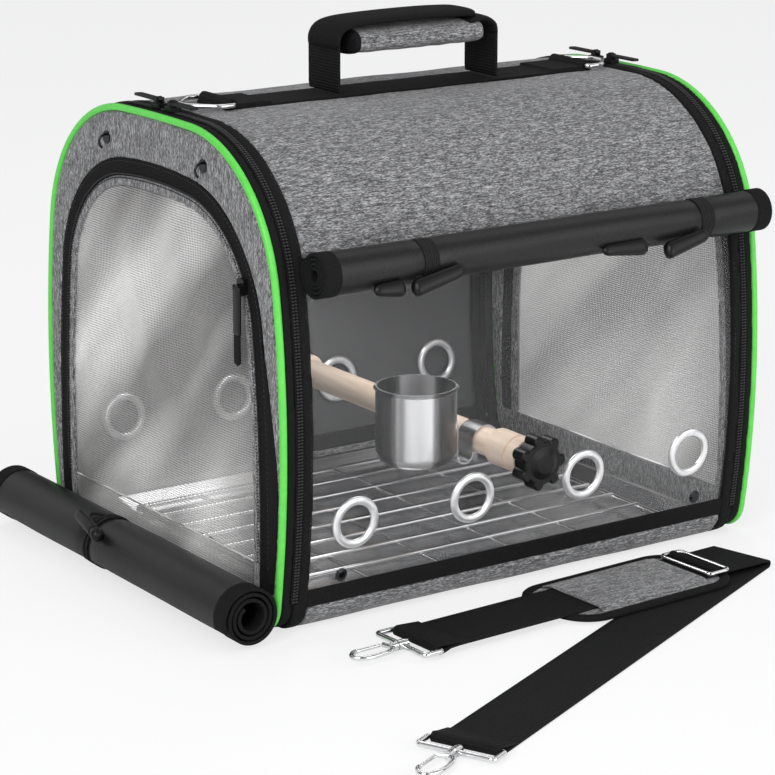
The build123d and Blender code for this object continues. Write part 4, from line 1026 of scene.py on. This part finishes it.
lay("grip_flap", "grip", "black_webbing", flap_line, Y, HANDLE_WIDE, 0.0066, "tape", power=2.8, count=40,
    round_end=0.006)
lay("grip_right_webbing", "grip", "black_webbing", turn_line, Y, HANDLE_WIDE, 0.0052, "webbing", power=3.2,
    count=32, round_start=0.004)

# %% [markdown]
# ## Elastic ties
# Each tie of the front roll is a gathered elastic round the roll and a pair of moulded toggles under it. The
# toggles are thick at one end and thin at the other, so they can be pushed through a loop.

# %% Elastics of the front roll
front_tight, end_tight = front_roll.snug(), end_roll.snug()
print("front roll radius under its ties", round(front_tight(0.0) * 1000, 1), "to",
      round(front_tight(math.pi) * 1000, 1), "mm")
AROUND, GATHERS = 96, 10
ELASTIC_WIDE, ELASTIC_LIFT, ELASTIC_HALF, GATHER = 0.0115, 0.0010, 0.0005, 0.00025


def hoop(name, x, *replaced):
    """A gathered elastic round the roll: a closed band with fine waves."""
    roll_y, roll_z = front_roll.centre
    verts, faces, uvs = [], [], []
    for i in range(AROUND):
        a = 2 * math.pi * i / AROUND
        radius = front_tight(a) + ELASTIC_LIFT
        for half in (-ELASTIC_HALF, ELASTIC_HALF):
            for k in range(GATHERS + 1):
                v = (k / GATHERS - 0.5) * ELASTIC_WIDE
                r = radius + half + GATHER * math.cos(k * 2.1 + 0.4 * math.sin(a * 9))
                verts.append((x + v, roll_y + r * math.cos(a), roll_z + r * math.sin(a)))
                uvs.append((a * radius, v))
    side = GATHERS + 1
    section = list(range(side)) + [side + k for k in reversed(range(side))]
    for i in range(AROUND):
        here, there = i * 2 * side, (i + 1) % AROUND * 2 * side
        for a, b in zip(section, section[1:] + section[:1]):
            faces.append((here + a, here + b, there + b, there + a))
    obj = piece(name, verts, faces, uvs=uvs)
    face_out(obj.data)
    coat(obj.data, finish["elastic"])
    give(obj, "carrier", "black_plastic", *replaced)


hoop("shade_elastic_left", front_roll.waists[0], "shade_ties")
hoop("shade_elastic_right", front_roll.waists[1])

# %% Toggles of the front roll
TOGGLE_WIDE, TOGGLE_THICK = 0.0118, 0.0092
toggles = (  # thick end, thin end, size, taper
    ((-0.145, -0.1795, 0.2318), (-0.121, -0.1795, 0.2308), 0.62, 1.7),
    ((-0.117, -0.1815, 0.2290), (-0.077, -0.1840, 0.2385), 1.0, 0.75),
    ((0.040, -0.1795, 0.2345), (0.078, -0.1790, 0.2330), 0.58, 1.8),
    ((0.092, -0.1815, 0.2275), (0.129, -0.1835, 0.2365), 1.05, 0.72))
for i, (a, b, size, taper) in enumerate(toggles):
    line = smooth_path([a, [(p + q) / 2 for p, q in zip(a, b)], b])
    lay(f"shade_toggle_{i + 1}", "carrier", "black_plastic", line, (0, 0.5, 1), TOGGLE_WIDE * size,
        TOGGLE_THICK * size, "plastic", power=2.6, count=20, round_start=0.005, round_end=0.005, taper=taper)

# %% Tie of the end roll
# A doubled elastic cord goes round the roll. Its toggle is a thick barrel with a ball at one end.
CORD_HALF_GAP, CORD_LIFT, CORD_WIDE = 0.0019, 0.0015, 0.0024


def on_roll(ahead, degrees, lift):
    """A point lift metres off the roll, ahead metres past its waist, degrees up from its outer side."""
    a = math.radians(180 - degrees)
    radius = end_tight(a) + lift
    across, up = end_roll.centre
    return Vector((across + radius * math.cos(a), end_roll.waists[0] + ahead, up + radius * math.sin(a)))


def tie(name, path, across, wide, thick, *rest, **shape):
    lay(name, "left_door", "black_plastic", path, across, wide, thick, *rest, **shape)


for i, ahead, replaced in ((1, -CORD_HALF_GAP, ["left_cover_tie"]), (2, CORD_HALF_GAP, [])):
    tie(f"cover_cord_{i}", [on_roll(ahead, 5 * k, CORD_LIFT) for k in range(73)], Y, CORD_WIDE, CORD_WIDE,
        "elastic", *replaced, power=2, count=12)
barrel = [on_roll(0.018, 52, 0.0066), on_roll(0.0, 44, 0.0070), on_roll(-0.015, 37, 0.0066)]
tie("cover_toggle", smooth_path(barrel), (1, 0, 1), 0.0088, 0.0084, "plastic", power=2.2, round_start=0.004,
    round_end=0.001)
ball = [on_roll(-0.0125, 38, 0.0070), on_roll(-0.0175, 36, 0.0070), on_roll(-0.0225, 34, 0.0070)]
tie("cover_toggle_ball", smooth_path(ball, 0.0006), (1, 0, 1), 0.0098, 0.0098, "plastic", power=2,
    round_start=0.0049, round_end=0.0049)
tail = [on_roll(0.002, 44, 0.0030), on_roll(0.006, 56, 0.0042), on_roll(0.010, 66, 0.0042),
        on_roll(0.007, 76, 0.0030), on_roll(0.002, 86, 0.0016)]
tie("cover_cord_tail", smooth_path(tail, 0.001), (0, 1, 0.2), 0.0022, 0.0022, "elastic", power=2, count=10)

# %% [markdown]
# ## Shoulder strap
# The strap is one flat web that folds back on itself. Each point of the crease belongs to both legs, so the web
# is one grid: up one leg, round the crease and back down the other. Each end loops round its wire eye.


# %% Strap webbing
def plan(x, y):
    """A point on the ground, from millimetres."""
    return Vector((x * MM, y * MM, 0))


def lift(z):
    return Vector((0, 0, z))


WEB_HALF, WEB_STRIPS, WEB_THICK = 0.023, 10, 0.00125
LOW_WEB, HIGH_WEB, CREASE_MID, CREASE_ROUND = 0.00072, 0.0053, 0.0030, 0.0023
start_1, start_2, fold = plan(-132, -211), plan(-206, -366), plan(155, -197)
dir_1, dir_2 = (fold - start_1).normalized(), (fold - start_2).normalized()
len_1, len_2 = (fold - start_1).length, (fold - start_2).length
turn_dir = (dir_1 + dir_2).normalized()
crease = Vector((-turn_dir.y, turn_dir.x, 0))
side_1, side_2 = Vector((-dir_1.y, dir_1.x, 0)), Vector((-dir_2.y, dir_2.x, 0))
# each end's loop round its eye, as distance along the leg and height in millimetres
tail_1 = [(18, 6.9), (5, 7.8), (0, 8.1), (-2, 7.3), (-2.8, 5.3), (-2, 3.3), (0, 2.5), (4, 3.2), (9, 4.9),
          (16, 5.3)]
tail_2 = [(18, 2.3), (6, 4.6), (0, 6.3), (-2, 5.5), (-2.8, 3.5), (-2, 1.5), (0, 0.75), (8, 0.72)]


def strap_line(w):
    """The web's middle surface at distance w along the crease, from one eye to the other."""
    v1, v2 = crease.dot(side_1) * w, crease.dot(side_2) * w
    end_1 = len_1 - v1 * side_1.dot(turn_dir) / dir_1.dot(turn_dir)
    end_2 = len_2 - v2 * side_2.dot(turn_dir) / dir_2.dot(turn_dir)
    points = [start_2 + dir_2 * u * MM + side_2 * v2 + lift(z * MM) for u, z in tail_2]
    points += [start_2 + dir_2 * (0.008 + (end_2 - 0.008) * i / 90) + side_2 * v2 + lift(LOW_WEB)
               for i in range(1, 91)]
    for i in range(1, 8):
        a = math.pi * (i / 8 - 0.5)
        points.append(fold + crease * w + turn_dir * CREASE_ROUND * math.cos(a)
                      + lift(CREASE_MID + CREASE_ROUND * math.sin(a)))
    points += [start_1 + dir_1 * (end_1 + (0.016 - end_1) * i / 80) + side_1 * v1 + lift(HIGH_WEB)
               for i in range(80)]
    points += [start_1 + dir_1 * u * MM + side_1 * v1 + lift(z * MM) for u, z in reversed(tail_1)]
    return points


half_crease = WEB_HALF / abs(crease.dot(side_1))
lines = [strap_line(half_crease * (2 * k / WEB_STRIPS - 1)) for k in range(WEB_STRIPS + 1)]
uvs = [(run, k * 2 * WEB_HALF / WEB_STRIPS) for k, line in enumerate(lines) for run in distances(line)]
web = piece("shoulder_webbing", [p for line in lines for p in line], grid(len(lines), len(lines[0])), uvs=uvs)
coat(thicken(web, WEB_THICK), finish["webbing"])
give(web, "strap", "black_webbing", "strap_webbing")
print("strap webbing length", round(distances(lines[0])[-1], 3))

# %% [markdown]
# ## Shoulder pad
# A thin padded cushion with a black binding lies under the web, and a grey cloth sleeve over the web holds it.

# %% Pad
PAD_HALF, PAD_WIDE, PAD_ROUND, PAD_AT = 0.074, 0.038, 0.026, 0.180
PAD_MID, PAD_SWELL = 0.0031, 0.00135
RINGS = (0.02, 0.15, 0.3, 0.45, 0.6, 0.72, 0.82, 0.90, 0.96, 1.0)
PER_CORNER = 30
pad_mid = start_1 + dir_1 * PAD_AT


def pad_edge(shrink, inset=0.0):
    """Points of the pad's outline in its own length and width, inset metres inside its edge."""
    corner = (PAD_ROUND - inset) * shrink
    points = []
    for sx, sy, begin in ((1, 1, 0), (-1, 1, 90), (-1, -1, 180), (1, -1, 270)):
        for i in range(PER_CORNER):
            a = math.radians(begin + 90 * i / (PER_CORNER - 1))
            points.append((sx * (PAD_HALF - PAD_ROUND) * shrink + corner * math.cos(a),
                           sy * (PAD_WIDE - PAD_ROUND) * shrink + corner * math.sin(a)))
    return points


def at_pad(u, v, z):
    return pad_mid + dir_1 * u + side_1 * v + lift(z)


verts, faces = [], []
around = 4 * PER_CORNER
for half, sign in enumerate((1, -1)):
    for ring in RINGS:
        height = PAD_MID + sign * PAD_SWELL * math.sqrt(max(0.0, 1 - ring ** 6))
        verts += [at_pad(u, v, height) for u, v in pad_edge(ring)]
    first = half * len(RINGS) * around
    faces += grid(len(RINGS), around, True, first) + [tuple(range(first, first + around))]
cushion = piece("shoulder_pad", verts, faces)
face_out(cushion.data, weld=WELD)
coat(cushion.data, finish["heather_x"])
give(cushion, "pad", "heather_cloth", "strap_pad")

edge = [at_pad(u, v, PAD_MID) for u, v in pad_edge(1.0, inset=0.0028)]
edge = [p for i, p in enumerate(edge) if i == 0 or (p - edge[i - 1]).length > WELD]
lay("pad_binding", "pad", "black_tape", edge + [edge[0]], Z, 0.0042, 0.0074, "tape", power=2.8, count=16)

# %% Sleeve
SLEEVE_LONG, SLEEVE_WIDE, LONG_STEPS, WIDE_STEPS = 0.096, 0.064, 40, 32
FLAT_FROM, RISES_OVER, SLEEVE_LOW, SLEEVE_RISE = 0.0318, 0.0075, 0.0048, 0.0021
verts = []
for k in range(LONG_STEPS + 1):
    u = SLEEVE_LONG * (k / LONG_STEPS - 0.5)
    for i in range(WIDE_STEPS + 1):
        v = SLEEVE_WIDE * (i / WIDE_STEPS - 0.5)
        rise = SLEEVE_RISE * ease(min(1.0, max(0.0, (FLAT_FROM - abs(v)) / RISES_OVER)))
        verts.append(at_pad(u, v, SLEEVE_LOW + rise + 0.00015 * noise.noise(Vector((u * 90, v * 90, 4)))))
sleeve = piece("pad_sleeve", verts, grid(LONG_STEPS + 1, WIDE_STEPS + 1))
coat(thicken(sleeve, 0.0008), finish["heather_x"])
give(sleeve, "pad", "heather_cloth")
for sign, tag in ((-1, "front"), (1, "back")):
    line = [at_pad(-0.047 + 0.094 * i / 40, sign * 0.0300, 0.0055) for i in range(41)]
    row(f"sleeve_stitches_{tag}", line, stitch, "pad", "heather_cloth", STITCH)
